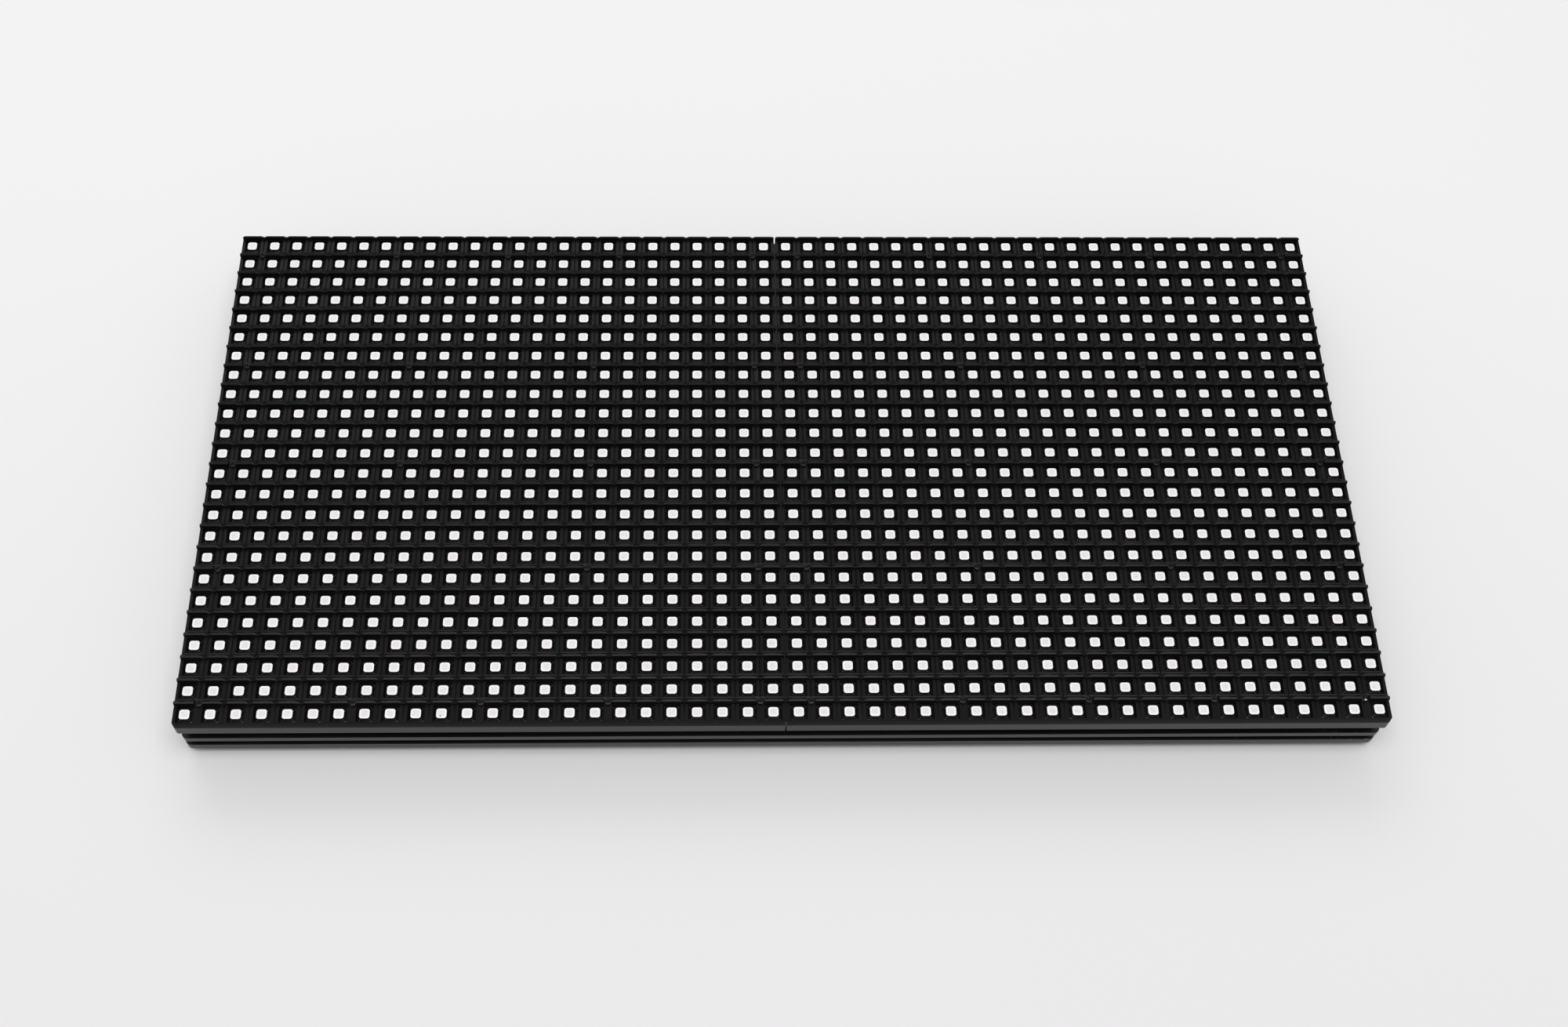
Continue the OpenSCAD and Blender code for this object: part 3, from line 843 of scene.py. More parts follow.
@dataclass(frozen=True)
class LouvreMask:
    """One louvred mask: a plate with a window for each lamp, a louvre above each row and a skirt.

    A window reaches from a sill below its lamp up to the foot of the louvre above it.
    """

    layout: Layout
    side: Side
    lamp_proud: float = 0.4
    plate: float = 1.2
    window_w: float = 4.4
    window_down: float = 2.05
    open_share: float = 0.8
    front_rim: float = 0.07
    rim_share: float = 0.9
    rim_step: float = 0.03
    strip: float = 0.1
    sill_h: float = 0.06
    draft: float = 0.067
    soften: float = 0.1
    corner_r: float = 0.93
    edge_roll: float = 0.3
    seam_step: float = 0.08
    end_step: float = 0.15
    back_step: float = 0.05
    bevel_w: float = 0.8
    bevel_h: float = 1.5
    notch_w: float = 1.7
    notch_d: float = 0.55
    groove_foot: float = 0.03
    groove_half: float = 0.18
    groove_d: float = 0.2
    nose: float = 0.16
    nose_half: float = 0.85
    nose_shoulder: float = 0.6
    nose_y: Triple = (-1.15, -1.1, -0.4)
    pocket_r: float = 1.125
    pocket_d: float = 0.3
    louvre_y: tuple[float, ...] = (-0.80, -0.71, -0.62, -0.15, -0.04, 0.85)
    louvre_h: tuple[float, ...] = (0.0, 0.84, 0.92, 1.0, 0.96, 0.0)

    @property
    def floor(self) -> float:
        """Height of the plate's upper face."""
        return self.layout.lamp_z - self.lamp_proud

    @property
    def under(self) -> float:
        """Height of the plate's lower face."""
        return self.floor - self.plate

    @property
    def bar(self) -> float:
        """Distance of a window's left and right edge from the boundary of its cell."""
        return (self.layout.pitch - self.window_w) / 2

    @property
    def sill(self) -> float:
        """Distance of a window's lower edge from the boundary of its cell."""
        return self.layout.pitch / 2 - self.window_down

    @property
    def front_sill(self) -> float:
        """The same distance for the lowest row, where a narrow rim is left behind the bevel."""
        return self.layout.end_y - self.layout.edge_y + self.bevel_w + self.front_rim

    @property
    def eave(self) -> float:
        """Distance of a window's upper edge from the boundary of its cell."""
        return self.strip - self.louvre_y[0]

    def edge_offsets(self, edge: float) -> Array:
        """Lines that shape a window's edge at a distance from its cell's boundary: top, edge and foot."""
        return edge + np.array([-self.soften, 0.0, self.draft])

    def eave_offsets(self) -> Array:
        """Lines that shape a window's upper edge: foot, edge and top."""
        return -self.eave - np.array([self.draft, 0.0, -self.strip / 2])

    def lines_x(self) -> Array:
        """Places the grid lines along X.

        Returns:
            Lines of the right mask, from the seam to the outer edge.
        """
        lay, edge, notch = self.layout, self.edge_offsets(self.bar), self.notch_w / 2
        half = np.concatenate([[self.groove_foot, self.groove_half, notch], edge])
        inner = lay.cells_x()[:, None] + np.concatenate([-half[::-1], half])
        gap = lay.end_x - lay.edge_x
        last = lay.end_x - np.concatenate([edge[::-1], [notch, gap + self.end_step, gap]])
        first = np.concatenate([[lay.seam, lay.seam + self.seam_step, notch], edge])
        return np.concatenate([first, inner.ravel(), last])

    def lines_y(self) -> Array:
        """Places the grid lines along Y.

        Returns:
            Lines from the lower to the upper edge.
        """
        lay, edge, eave = self.layout, self.edge_offsets(self.sill), self.eave_offsets()
        inner = lay.cells_y()[:, None] + np.concatenate([eave, self.louvre_y, edge])
        gap = lay.end_y - lay.edge_y
        rim = [gap, gap + self.rim_share * self.bevel_w, self.front_sill - self.rim_step]
        low = -lay.end_y + np.concatenate([rim, self.edge_offsets(self.front_sill)[1:]])
        high = lay.end_y + np.concatenate([eave, self.louvre_y[:3], [-gap - self.back_step, -gap]])
        return np.concatenate([low, inner.ravel(), high])

    def top(self, x: Array, y: Array) -> Array:
        """Upper face as a grid: the floor, a fine groove along each column bar, a louvre whose profile is
        a broken line across the rows and is cut by a V between the columns, a sill that rises to each
        window's lower edge, window edges that drop to the plate's foot, a nose where a louvre crosses a
        bar, a pocket around each screw and a bevel along the lower edge.

        Args:
            x: Grid lines along X.
            y: Grid lines along Y.

        Returns:
            Places (len(x), len(y), 3).
        """
        lay = self.layout
        gx, gy = np.meshgrid(x, y, indexing="ij")
        off = np.abs(gx - lay.pitch * np.round(gx / lay.pitch))
        v = gy - lay.pitch * np.round(gy / lay.pitch)
        front = gy < lay.pitch / 2 - lay.edge_y
        between = gx < lay.edge_x - self.notch_w
        tall = lay.tip_z - self.floor
        louvre = np.where(front, 0.0, tall * np.interp(v, self.louvre_y, self.louvre_h))
        cut = tall - self.notch_d * np.clip(1.0 - 2.0 * off / self.notch_w, 0.0, 1.0)
        louvre = np.where(between, np.minimum(louvre, cut), louvre)
        sides = [self.groove_foot, self.groove_half]
        groove = self.groove_d * np.interp(off, sides, [1.0, 0.0])
        sill = np.where(front, self.front_sill, self.sill)
        rise = self.sill_h * np.interp(v, [self.louvre_y[-1], self.sill - self.soften], [0.0, 1.0])
        rise = np.where(front | (v > sill + self.draft / 2), 0.0, rise)
        z = self.floor + np.maximum(louvre, rise) - np.where((louvre > 0.0) | front, 0.0, groove)
        inside = np.minimum(off - self.bar, np.where(v > 0, v - sill, -v - self.eave))
        z = np.where(inside > -self.draft / 4, z - self.soften, z)
        z = np.where(inside > self.draft / 2, self.under, z)
        swell = self.nose * np.interp(off, [*sides, self.nose_half], [1.0, self.nose_shoulder, 0.0])
        start, full, end = self.nose_y
        near = np.interp(v, [start, full, self.louvre_y[1], end], [0.0, 1.0, 1.0, 0.0])
        gy = gy - swell * near * (between & ~front & (gx > lay.seam + TOUCH))
        z = self.with_pockets(gx, gy, z)
        low = (gy + lay.edge_y) / self.bevel_w
        z = np.where(low < 1.0, self.floor - self.bevel_h * (1.0 - low), z)
        return np.stack([gx, gy, z], axis=-1)

    def with_pockets(self, x: Array, y: Array, z: Array) -> Array:
        """Lowers what lies within a round pocket about each screw to the pocket's floor.

        Args:
            x: Places of the grid along X.
            y: Places of the grid along Y.
            z: Heights before the pockets.

        Returns:
            Heights with the pockets.
        """
        places = self.layout.screw_places()
        away = np.full(x.shape, np.inf)
        for px, py in places[places[:, 0] > 0]:
            away = np.minimum(away, np.hypot(x - px, y - py))
        return np.where(away < self.pocket_r, np.minimum(z, self.floor - self.pocket_d), z)

    def round_corners(self, p: Array) -> Array:
        """Draws each outer corner's square onto a quarter disc, along the lines from its middle.

        Args:
            p: Places (..., 3) with square corners.

        Returns:
            The places with round corners.
        """
        lay, r = self.layout, self.corner_r
        dx = np.clip(p[..., 0] - (lay.edge_x - r), 0.0, r)
        dy = np.clip(np.abs(p[..., 1]) - (lay.edge_y - r), 0.0, r)
        share = np.maximum(dx, dy) / np.maximum(np.hypot(dx, dy), TINY)
        pull = np.where((dx > 0) & (dy > 0), share - 1.0, 0.0)
        return p + np.stack([dx * pull, np.sign(p[..., 1]) * dy * pull, np.zeros_like(dx)], axis=-1)

    def underside(self, patch: Patchwork, x: Array, y: Array) -> None:
        """Adds the plate's lower face: bars between the windows, ends that meet every line of the rim.

        Args:
            patch: Where the polygons go.
            x: Grid lines of the upper face along X.
            y: Grid lines along Y.
        """
        lay = self.layout
        rim, sill, eave = self.bar + self.draft, self.sill + self.draft, self.eave + self.draft
        end_x, low, high = self.inner_ends()
        kx, ky = lay.cells_x(), lay.cells_y()
        xs = np.concatenate([[lay.seam, rim], (kx[:, None] + [-rim, rim]).ravel(), [end_x]])
        ys = np.concatenate([[low], (ky[:, None] + [-eave, sill]).ravel(), [high]])
        flat = np.stack(np.meshgrid(xs, ys, indexing="ij"), axis=-1)
        i, j = np.meshgrid(np.arange(len(xs) - 1), np.arange(len(ys) - 1), indexing="ij")
        x_bar, y_bar = i % 2 == 0, j % 2 == 1
        inside = (j > 0) & (j < len(ys) - 2)
        keep = (x_bar & ~y_bar & inside) | (~x_bar & y_bar & (i < len(xs) - 2)) | (x_bar & y_bar & (i > 0))
        patch.grid(at_height(flat, self.under), keep)

        def fan(near: Array, far: Array) -> None:
            """Adds polygons from the fine points of a rim edge to the two far corners of a bar's end."""
            patch.polygons(at_height(np.concatenate([near, far], axis=1), self.under))

        full_x = np.array([x[(x > k - rim - TOUCH) & (x < k + rim + TOUCH)] for k in kx])
        full_y = np.array([y[(y > k - eave - TOUCH) & (y < k + sill + TOUCH)] for k in ky])
        seam_x = x[x < rim + TOUCH][None]
        for end, far_y in ((low, ys[1]), (high, ys[-2])):
            for fine in (full_x, seam_x):
                near = np.stack([fine, np.full_like(fine, end)], axis=-1)
                fan(near, np.stack([fine[:, [-1, 0]], np.full((len(fine), 2), far_y)], axis=-1))
        for at, far_x in ((xs[-1], xs[-2]), (xs[0], xs[1])):
            near = np.stack([np.full_like(full_y, at), full_y], axis=-1)
            fan(near, np.stack([np.full((len(full_y), 2), far_x), full_y[:, [-1, 0]]], axis=-1))

    def rim_walls(self, patch: Patchwork, plain: Array) -> None:
        """Adds the skirt, a profile carried round the three outer sides, and the wall along the seam.

        Args:
            patch: Where the walls go.
            plain: The upper face's grid before its corners are rounded.
        """
        under, foot = self.under, self.layout.skirt_z
        square = np.concatenate([plain[:, 0], plain[-1, 1:], plain[-2::-1, -1]])
        path = self.round_corners(square)
        end_x, low, high = self.inner_ends()
        roll = np.array([0.0, 0.0, self.edge_roll])
        inner = at_height(square, foot)
        inner[:, 0] = np.minimum(inner[:, 0], end_x)
        inner[:, 1] = np.clip(inner[:, 1], low, high)
        patch.grid(np.stack([path, path - roll, at_height(path, foot), inner, at_height(inner, under)]))
        seam = plain[0]
        middle = seam[(seam[:, 1] > low - TOUCH) & (seam[:, 1] < high + TOUCH)]
        patch.grid(np.stack([middle, at_height(middle, under)]))
        for end in (seam[seam[:, 1] < low + TOUCH], seam[seam[:, 1] > high - TOUCH][::-1]):
            edge, face = end[:1], end[-1:]
            down = [at_height(face, under), at_height(face, foot), at_height(edge, foot)]
            patch.polygons(np.concatenate([end, *down, edge - roll])[None])

    def inner_ends(self) -> Triple:
        """Finds the inner faces of the skirt.

        Returns:
            Outer side along X, then lower and upper side along Y.
        """
        lay, draft = self.layout, self.draft
        low, high = self.front_sill + draft - lay.end_y, lay.end_y - self.eave - draft
        return lay.end_x - self.bar - draft, low, high

    def build(self, finish: Material) -> None:
        """Builds the right mask's shell, mirrors it for the left, and puts it in place of its node.

        Args:
            finish: The mask's material.
        """
        patch = Patchwork()
        x, y = self.lines_x(), self.lines_y()
        top = self.top(x, y)
        wide = np.diff(x)[:, None] > self.window_w * self.open_share
        deep = np.diff(y)[None, :] > self.window_w * self.open_share
        patch.grid(self.round_corners(top), ~(wide & deep))
        self.rim_walls(patch, top)
        self.underside(patch, x, y)
        patch.turn_to(self.side)
        name = self.side.name.lower()
        patch.piece(f"louvre_mask_{name}", finish, "mask_plastic", [f"mask_{name}"])


@dataclass(frozen=True)
class LampField:
    """Square lamps of one half, with the bumps of their corner terminals."""

    layout: Layout
    side: Side
    half: float = 1.35
    corner_r: float = 0.64
    corner_share: float = 0.6
    edge: float = 0.09
    frame: float = 0.42
    dish: float = 0.03
    steps: int = 3
    sharp: float = 50.0
    pad_r: float = 0.30
    pad_at: float = 1.33
    pad_drop: float = 1.05
    pad_round: float = 0.12
    pad_crown: float = 0.6
    pad_sides: int = 6
    pad_sharp: float = 60.0

    def build(self, resin: Material, tin: Material) -> None:
        """Builds all packages as one piece and all terminals as another: each is a stack of rings, rounded
        squares for a package and circles for a terminal, that narrows towards its top.

        Args:
            resin: Material of the packages.
            tin: Material of the terminals.
        """
        name, places = self.side.name.lower(), self.layout.lamp_places(self.side)
        top, foot = self.layout.lamp_z, self.layout.board_z
        inset = (0.0, 0.0, self.edge, self.frame)
        heights = (foot, top - self.edge, top, top - self.dish)
        rings = [
            at_height(rounded_square(self.half - k, self.corner_r - self.corner_share * k, self.steps), z)
            for k, z in zip(inset, heights)
        ]
        packages = self.repeat(np.stack(rings), places)
        packages.piece(f"lamp_packages_{name}", resin, "lamp_resin", [f"leds_{name}"], self.sharp)
        sign = np.array([[-1, -1], [1, -1], [1, 1], [-1, 1]]) * self.pad_at
        spots = (places[:, None] + sign[None]).reshape(-1, 2)
        turn = np.arange(self.pad_sides) * np.pi / (self.pad_sides / 2)
        disc = np.column_stack([np.cos(turn), np.sin(turn)])
        level = top - self.pad_drop
        radii = (self.pad_r, self.pad_r, self.pad_crown * self.pad_r)
        dome = [at_height(disc * r, z) for r, z in zip(radii, (foot, level - self.pad_round, level))]
        terminals = self.repeat(np.stack(dome), spots)
        terminals.piece(f"lamp_terminals_{name}", tin, "pin_tin", (), self.pad_sharp)

    @staticmethod
    def repeat(rings: Array, places: Array) -> Patchwork:
        """Copies a closed stack of rings to each place.

        Args:
            rings: Rings of one shape (r, n, 3).
            places: Middles of the copies (k, 2).

        Returns:
            The copies, not joined yet.
        """
        patch = Patchwork()
        shift = at_height(places, 0.0)
        patch.copies(rings.reshape(-1, 3)[None] + shift[:, None], tube(*rings.shape[:2]))
        return patch


@dataclass(frozen=True)
class PottingSheet:
    """Black potting of one half: a level sheet that creeps up each lamp's side and closes the seam."""

    layout: Layout
    side: Side
    room: Triple
    level_drop: float = 1.66
    creep: float = 0.55
    fade: float = 0.5
    lamp_half: float = 1.35
    near: tuple[float, ...] = (-1.85, -1.5, -1.3, 1.3, 1.5, 1.85)
    seam: float = 0.005
    wall_gap: float = 0.02
    sharp: float = 60.0

    def build(self, finish: Material) -> None:
        """Builds the sheet: its height is the level plus the creep times the square of a share, which
        falls from 1 at the nearest lamp's side to 0 where the creep has faded.

        Args:
            finish: The potting's material.
        """
        lay, gap = self.layout, self.wall_gap
        end_x, low, high = self.room
        x = np.concatenate([[self.seam], (lay.lamps_x()[:, None] + self.near).ravel(), [end_x - gap]])
        y = np.concatenate([[low + gap], (lay.lamps_y()[:, None] + self.near).ravel(), [high - gap]])
        flat = np.meshgrid(x, y, indexing="ij")
        off = [np.abs((line % lay.pitch) - lay.pitch / 2) - self.lamp_half for line in flat]
        away = np.hypot(np.maximum(off[0], 0.0), np.maximum(off[1], 0.0))
        level = lay.lamp_z - self.level_drop
        z = level + self.creep * np.clip(1.0 - away / self.fade, 0.0, 1.0) ** 2
        top = np.stack([*flat, z], axis=-1)
        patch = Patchwork()
        patch.grid(top)
        ring = np.concatenate([top[:, 0], top[-1, 1:], top[-2::-1, -1], top[0, -2::-1]])
        base = at_height(ring, lay.board_z)
        patch.grid(np.stack([ring, base]))
        patch.polygons(base[None, :-1])
        patch.turn_to(self.side)
        patch.piece(f"potting_{self.side.name.lower()}", finish, "seal_rubber", (), self.sharp)


@dataclass(frozen=True)
class MaskScrews:
    """Pan-head screws of both masks with a cross recess in each head."""

    layout: Layout
    head_r: float = 1.1
    head_h: float = 0.8
    crown: float = 0.16
    crown_r: float = 0.93
    shank_r: float = 0.8
    shank: float = 3.0
    arm_half: float = 0.17
    arm_edge: float = 0.05
    arm_r: float = 0.66
    arm_sines: tuple[float, float] = (0.7, 0.78)
    core_r: float = 0.25
    core_dip: float = 0.12
    depth: float = 0.42
    end_share: float = 0.7
    sharp: float = 35.0
    seed: int = 7

    def head(self) -> Array:
        """One screw as rings from the recess outwards and down the shank. Each ring's angles follow the
        edges of the cross's arms at its radius, so that the arms keep their width.

        Returns:
            Rings (r, n, 3) about the screw's own axis.
        """
        recess = [self.core_r, self.arm_r, self.arm_r + self.arm_edge]
        rim, shank = [self.head_r] * 2, [self.shank_r] * 2
        radii = np.array([*recess, self.crown_r, *rim, *shank])
        inner = np.arcsin(np.minimum(self.arm_half / radii, self.arm_sines[0]))
        outer = np.arcsin(np.minimum((self.arm_half + self.arm_edge) / radii, self.arm_sines[1]))
        quarter = np.stack([-outer, -inner, inner, outer, np.full_like(radii, np.pi / 4)], axis=-1)
        angle = (quarter[:, None, :] + np.arange(4)[None, :, None] * np.pi / 2).reshape(len(radii), -1)
        top = self.layout.head_z
        dome = top - self.crown * (radii / self.head_r) ** 2
        dome[5:] = [top - self.head_h, top - self.head_h, top - self.head_h - self.shank]
        z = np.repeat(dome[:, None], angle.shape[1], axis=1)
        floor = np.tile(np.array([False, True, True, False, False]), 4)
        z[0, floor] = top - self.depth
        z[1, floor] = top - self.end_share * self.depth
        z[0, ~floor] = top - self.core_dip
        return np.stack([radii[:, None] * np.cos(angle), radii[:, None] * np.sin(angle), z], axis=-1)

    def build(self, finish: Material) -> None:
        """Builds all screws, each turned by its own fixed angle.

        Args:
            finish: The screws' material.
        """
        places = self.layout.screw_places()
        rings = self.head()
        turn = np.random.default_rng(self.seed).uniform(0.0, np.pi / 2, len(places))
        c, s = np.cos(turn)[:, None, None], np.sin(turn)[:, None, None]
        x = rings[None, ..., 0] * c - rings[None, ..., 1] * s + places[:, 0, None, None]
        y = rings[None, ..., 0] * s + rings[None, ..., 1] * c + places[:, 1, None, None]
        z = np.broadcast_to(rings[None, ..., 2], x.shape)
        points = np.stack([x, y, z], axis=-1).reshape(len(places), -1, 3)
        patch = Patchwork()
        patch.copies(points, tube(*rings.shape[:2]))
        patch.piece("mask_screw_heads", finish, "screw_steel", ["mask_screws"], self.sharp)


@dataclass(frozen=True)
class ChipKind:
    """One kind of chip on the back of the board: its body's width and height, its leads and its places."""

    body_w: float
    body_h: float
    leads: int
    step: float
    lead_w: float
    places: tuple[tuple[float, float], ...]


@dataclass(frozen=True)
class BackParts:
    """Metal ends of the parts under the board: gull-wing leads and the caps of chip parts."""

    layout: Layout
    window_mids: Triple = (30.6667, 80.0, 130.0833)
    row_mid: float = 36.75
    offset: float = 9.0
    step: float = 19.0
    ceramic_up: float = 5.15
    ceramic: Triple = (1.6, 0.8, 0.8)
    resistor_step: float = 2.4
    resistor: Triple = (1.6, 0.8, 0.5)
    lead_t: float = 0.15
    lead_out: tuple[float, ...] = (-0.2, 0.22, 0.42, 1.05)
    cap_grow: float = 0.03
    cap_len: float = 0.34
    cap_cut: float = 0.12
    cap_edge: float = 0.05
    cap_taper: float = 0.86

    def drivers(self) -> tuple[tuple[float, float], ...]:
        """Places of the driver chips."""
        return tuple(
            (s * mid - self.offset, t * self.row_mid + k * self.step)
            for s in (-1, 1) for t in (-1, 1) for mid in self.window_mids for k in (-1, 0, 1)
        )

    def chips(self) -> list[ChipKind]:
        """Lists the chips that have leads.

        Returns:
            Drivers, buffers, row switches and the row decoder.
        """
        a, b, c = self.window_mids
        y, off, step = -self.row_mid, self.offset, self.step
        buffers = ((-c + off, y - step / 2), (-c + off, y + step / 2), (c + off, y))
        switches = tuple((s * b + off, y + k * step) for s in (-1, 1) for k in (-1, 0, 1))
        return [
            ChipKind(3.9, 1.6, 12, 0.635, 0.26, self.drivers()),
            ChipKind(4.4, 1.1, 10, 0.65, 0.24, buffers),
            ChipKind(3.9, 1.6, 4, 1.27, 0.42, switches),
            ChipKind(3.9, 1.6, 8, 1.27, 0.42, ((-a + off, y),)),
        ]

    @staticmethod
    def both_ways(shape: Array) -> Array:
        """A shape (v, 3) and its copy turned half round, as (2, v, 3)."""
        return np.stack([shape, shape * [-1.0, -1.0, 1.0]])

    def add_leads(self, patch: Patchwork, chip: ChipKind) -> None:
        """Adds the leads of one kind: a strip that leaves the body's side at half its height, bends to
        the board and ends in a flat foot.

        Args:
            patch: Where the leads go.
            chip: The kind of chip.
        """
        seat = self.layout.seat_z
        mid, pad = seat - chip.body_h / 2, seat - self.lead_t / 2
        path = np.column_stack([chip.body_w / 2 + np.array(self.lead_out), [mid, mid, pad, pad]])
        strip, faces = sweep_strip(path, self.lead_t, chip.lead_w)
        along = (np.arange(chip.leads) - (chip.leads - 1) / 2) * chip.step
        shift = np.array(chip.places)[:, None, None, :] + np.stack([along, 0 * along], axis=-1)[None, None]
        points = self.both_ways(strip)[None, :, None] + at_height(shift, 0.0)[..., None, :]
        patch.copies(points.reshape(-1, len(strip), 3), faces)

    def add_ends(self, patch: Patchwork, places: Array, size: Triple) -> None:
        """Adds the two metal caps of each chip part: a bevelled square ring carried along its length.

        Args:
            patch: Where the caps go.
            places: Middles of the parts (k, 2).
            size: Size of a part.
        """
        grow, end = self.cap_grow, size[0] / 2
        half_y, half_z = size[1] / 2 + grow, size[2] / 2 + grow / 2
        near_y, near_z = half_y - self.cap_cut, half_z - self.cap_cut
        oy = np.array([-half_y, -near_y, near_y, half_y, half_y, near_y, -near_y, -half_y])
        oz = np.array([-near_z, -half_z, -half_z, -near_z, half_z, half_z, half_z, half_z])
        xs = np.array([end - self.cap_len, end - self.cap_edge, end + grow])
        shrink = np.array([1.0, 1.0, self.cap_taper])[:, None]
        mid = self.layout.seat_z - half_z
        ring = np.stack([np.repeat(xs[:, None], 8, axis=1), shrink * oy, mid + shrink * oz], axis=-1)
        both = self.both_ways(ring.reshape(-1, 3))
        points = at_height(places, 0.0)[:, None, None] + both[None]
        patch.copies(points.reshape(-1, both.shape[1], 3), tube(*ring.shape[:2]))

    def build(self, tin: Material) -> None:
        """Builds the leads as one piece and the end caps as another.

        Args:
            tin: Material of both.
        """
        leads, ends = Patchwork(), Patchwork()
        for chip in self.chips():
            self.add_leads(leads, chip)
        leads.piece("chip_leads", tin, "pin_tin")
        self.add_ends(ends, np.array(self.drivers()) + [0.0, self.ceramic_up], self.ceramic)
        rows = np.arange(-3, 4) * self.resistor_step + self.row_mid
        columns = (self.offset - self.window_mids[0], self.offset + self.window_mids[1])
        self.add_ends(ends, np.array([(x, y) for x in columns for y in rows]), self.resistor)
        ends.piece("chip_part_ends", tin, "pin_tin")


@dataclass(frozen=True)
class SoftLamp:
    """A flat soft lamp that faces the module; its size and place are in metres."""

    name: str
    watts: float
    size: tuple[float, float]
    place: Triple

    def build(self) -> None:
        """Makes the lamp and turns it to the module."""
        data = bpy.data.lights.new(self.name, "AREA")
        data.shape = "RECTANGLE"
        data.size, data.size_y = self.size
        data.energy = self.watts
        lamp = add_object(self.name, data)
        lamp.location = self.place
        lamp.rotation_euler = (-Vector(self.place)).to_track_quat("-Z", "Y").to_euler()


@dataclass(frozen=True)
class Studio:
    """Pale table, soft light from above and from behind, and the camera of the photograph."""

    eye: Triple = (-21.23, -286.99, 484.27)
    right: Triple = (0.99972, -0.01367, 0.01925)
    down: Triple = (-0.00212, -0.86398, -0.50351)
    lens: float = 44.446
    sensor: float = 36.0
    shift: tuple[float, float] = (0.02154, 0.00018)
    clip: tuple[float, float] = (0.01, 50.0)
    table_half: float = 4000.0
    table_lines: int = 9
    sky: Color = (1.0, 0.995, 1.0)
    sky_light: float = 0.42
    lamps: tuple[SoftLamp, ...] = (
        SoftLamp("top_lamp", 51.5, (2.6, 1.2), (0.04, -0.5, 2.9)),
        SoftLamp("back_lamp", 7.5, (1.6, 1.0), (-0.3, 1.45, 1.25)),
    )

    def build(self) -> None:
        """Makes the table, the sky, the lamps and the camera."""
        self.table()
        self.light()
        self.camera()

    def table(self) -> None:
        """A wide flat table at the module's feet."""
        line = np.linspace(-self.table_half, self.table_half, self.table_lines)
        patch = Patchwork()
        patch.grid(at_height(np.stack(np.meshgrid(line, line, indexing="ij"), axis=-1), 0.0))
        mesh = patch.mesh("table_top_painted_shade")
        mesh.materials.append(TableTopWithPaintedShade("table_top_painted_shade").build())
        obj = add_object("table_top_painted_shade", mesh)

    def light(self) -> None:
        """An even sky and the soft lamps."""
        world = bpy.data.worlds.new("studio_sky")
        world.use_nodes = True
        background = world.node_tree.nodes["Background"]
        background.inputs["Color"].default_value = (*self.sky, 1.0)
        background.inputs["Strength"].default_value = self.sky_light
        bpy.context.scene.world = world
        for lamp in self.lamps:
            lamp.build()

    def camera(self) -> None:
        """The camera at the photograph's place, turned by its own axes."""
        data = bpy.data.cameras.new("photo_camera")
        data.lens = self.lens
        data.sensor_width = self.sensor
        data.sensor_fit = "HORIZONTAL"
        data.shift_x, data.shift_y = self.shift
        data.clip_start, data.clip_end = self.clip
        right, up = np.array(self.right), -np.array(self.down)
        turn = Matrix(np.column_stack([right, up, np.cross(right, up)]).tolist()).to_4x4()
        obj = add_object("photo_camera", data)
        obj.matrix_world = Matrix.Translation([c * MM for c in self.eye]) @ turn
        bpy.context.scene.camera = obj


def dress(finish: Finish, *nodes: str) -> Material:
    """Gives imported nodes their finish.

    Args:
        finish: The finish for their slots.
        nodes: Names of the nodes.

    Returns:
        The material.
    """
    material = finish.build()
    for node in nodes:
        mesh = frame["nodes"][node].data
        mesh.materials.clear()
        mesh.materials.append(material)
        LOG.info("%s: %s", node, material.name)
    return material


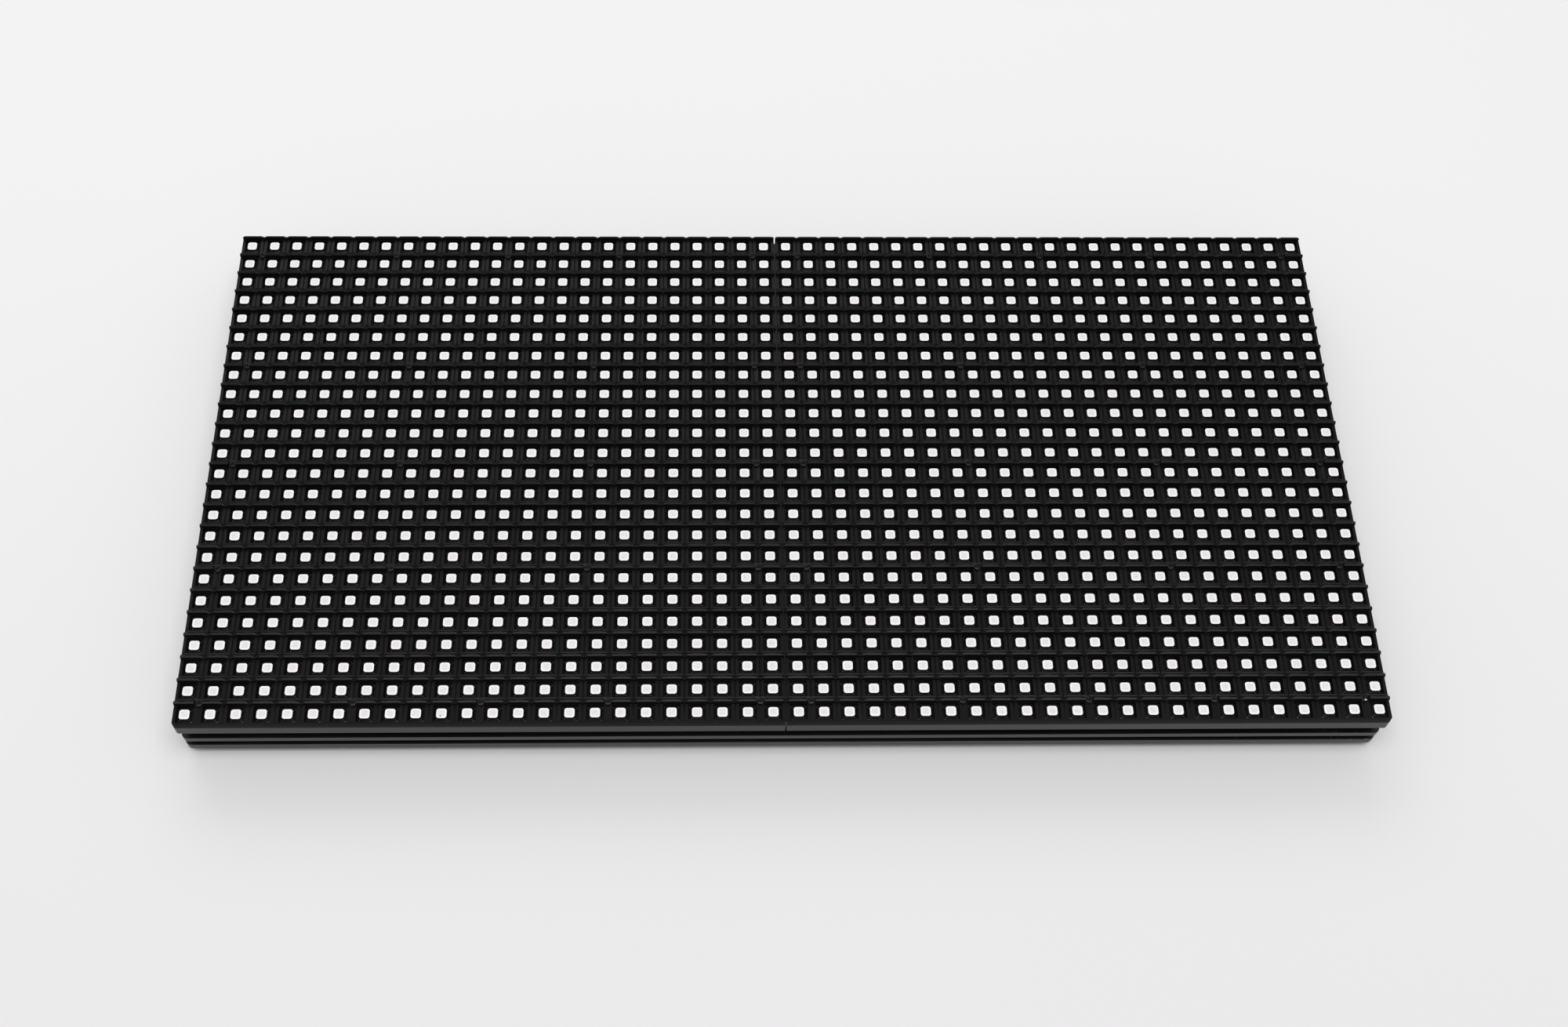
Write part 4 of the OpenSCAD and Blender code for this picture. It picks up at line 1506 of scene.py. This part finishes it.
def dress_nodes() -> Material:
    """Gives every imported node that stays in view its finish.

    Returns:
        The tinned pins' material, which the board parts' metal ends share.
    """
    chips = ("driver_chips", "buffer_chips", "row_switch_chips", "row_decoder_chip")
    epoxy, paler_epoxy = (0.018, 0.018, 0.019), (0.026, 0.026, 0.027)
    rubber, paler_rubber = (0.035, 0.035, 0.036), (0.055, 0.055, 0.056)
    nylon, paler_nylon = (0.76, 0.72, 0.62), (0.82, 0.79, 0.70)
    ceramic, paler_ceramic = (0.42, 0.29, 0.16), (0.52, 0.38, 0.22)
    glaze, paler_glaze = (0.014, 0.014, 0.016), (0.022, 0.022, 0.024)
    turned, drawn = (6.0, 6.0, 1.0), (4.0, 4.0, 0.5)
    dress(SolderMask("board_mask"), "circuit_board")
    dress(MouldedPlastic("case_plastic", rough=0.36, grain=0.3, gloss=0.42, dust_from=105.0), "rear_case")
    dress(MouldedPlastic("header_plastic", rough=0.45), "data_in_shroud", "data_out_shroud")
    dress(MouldedPlastic("chip_epoxy", epoxy, paler_epoxy, 0.5, 0.1, 0.12), *chips)
    dress(MouldedPlastic("seal_rubber", rubber, paler_rubber, 0.68, grain=0.4), "rear_seal")
    dress(MouldedPlastic("power_nylon", nylon, paler_nylon, 0.4, 0.08, 0.5), "power_housing")
    dress(MouldedPlastic("ceramic_body", ceramic, paler_ceramic, 0.5, 0.1, 0.15), "chip_capacitors")
    dress(MouldedPlastic("resistor_glaze", glaze, paler_glaze, 0.22, 0.06), "chip_resistors")
    dress(PlainMetal("pin_gold", Metal.GOLD, 0.26), "data_in_pins", "data_out_pins")
    dress(PlainMetal("insert_brass", Metal.BRASS, 0.3, turned, 0.2, 0.012), "threaded_inserts")
    dress(PlainMetal("can_aluminium", Metal.ALUMINIUM, 0.3, drawn, 0.2, 0.004), "bulk_capacitors")
    return dress(PlainMetal("pin_tin", Metal.TIN, 0.32), "power_pins")


def main() -> None:
    """Builds the sub-assemblies in order and reports each piece."""
    logging.basicConfig(level=logging.INFO, format="%(name)s: %(message)s")
    bpy.context.scene.view_settings.view_transform = "Standard"
    layout = Layout.from_frame()
    Studio().build()
    black, paler = (0.0045, 0.0045, 0.0048), (0.0068, 0.0068, 0.0072)
    plastic = MouldedPlastic("mask_plastic", black, paler, 0.3, gloss=0.13, smooth_below=18.4).build()
    resin = LampResin("lamp_resin", layout.pitch, layout.lamp_z).build()
    terminal = PlainMetal("lamp_terminal", Metal.DARK_TIN, 0.45).build()
    gel = PottingGel("potting_gel").build()
    for side in Side:
        mask = LouvreMask(layout, side)
        mask.build(plastic)
        LampField(layout, side).build(resin, terminal)
        PottingSheet(layout, side, mask.inner_ends()).build(gel)
    MaskScrews(layout).build(BlackScrew("screw_black").build())
    BackParts(layout).build(dress_nodes())


if __name__ == "__main__":
    main()
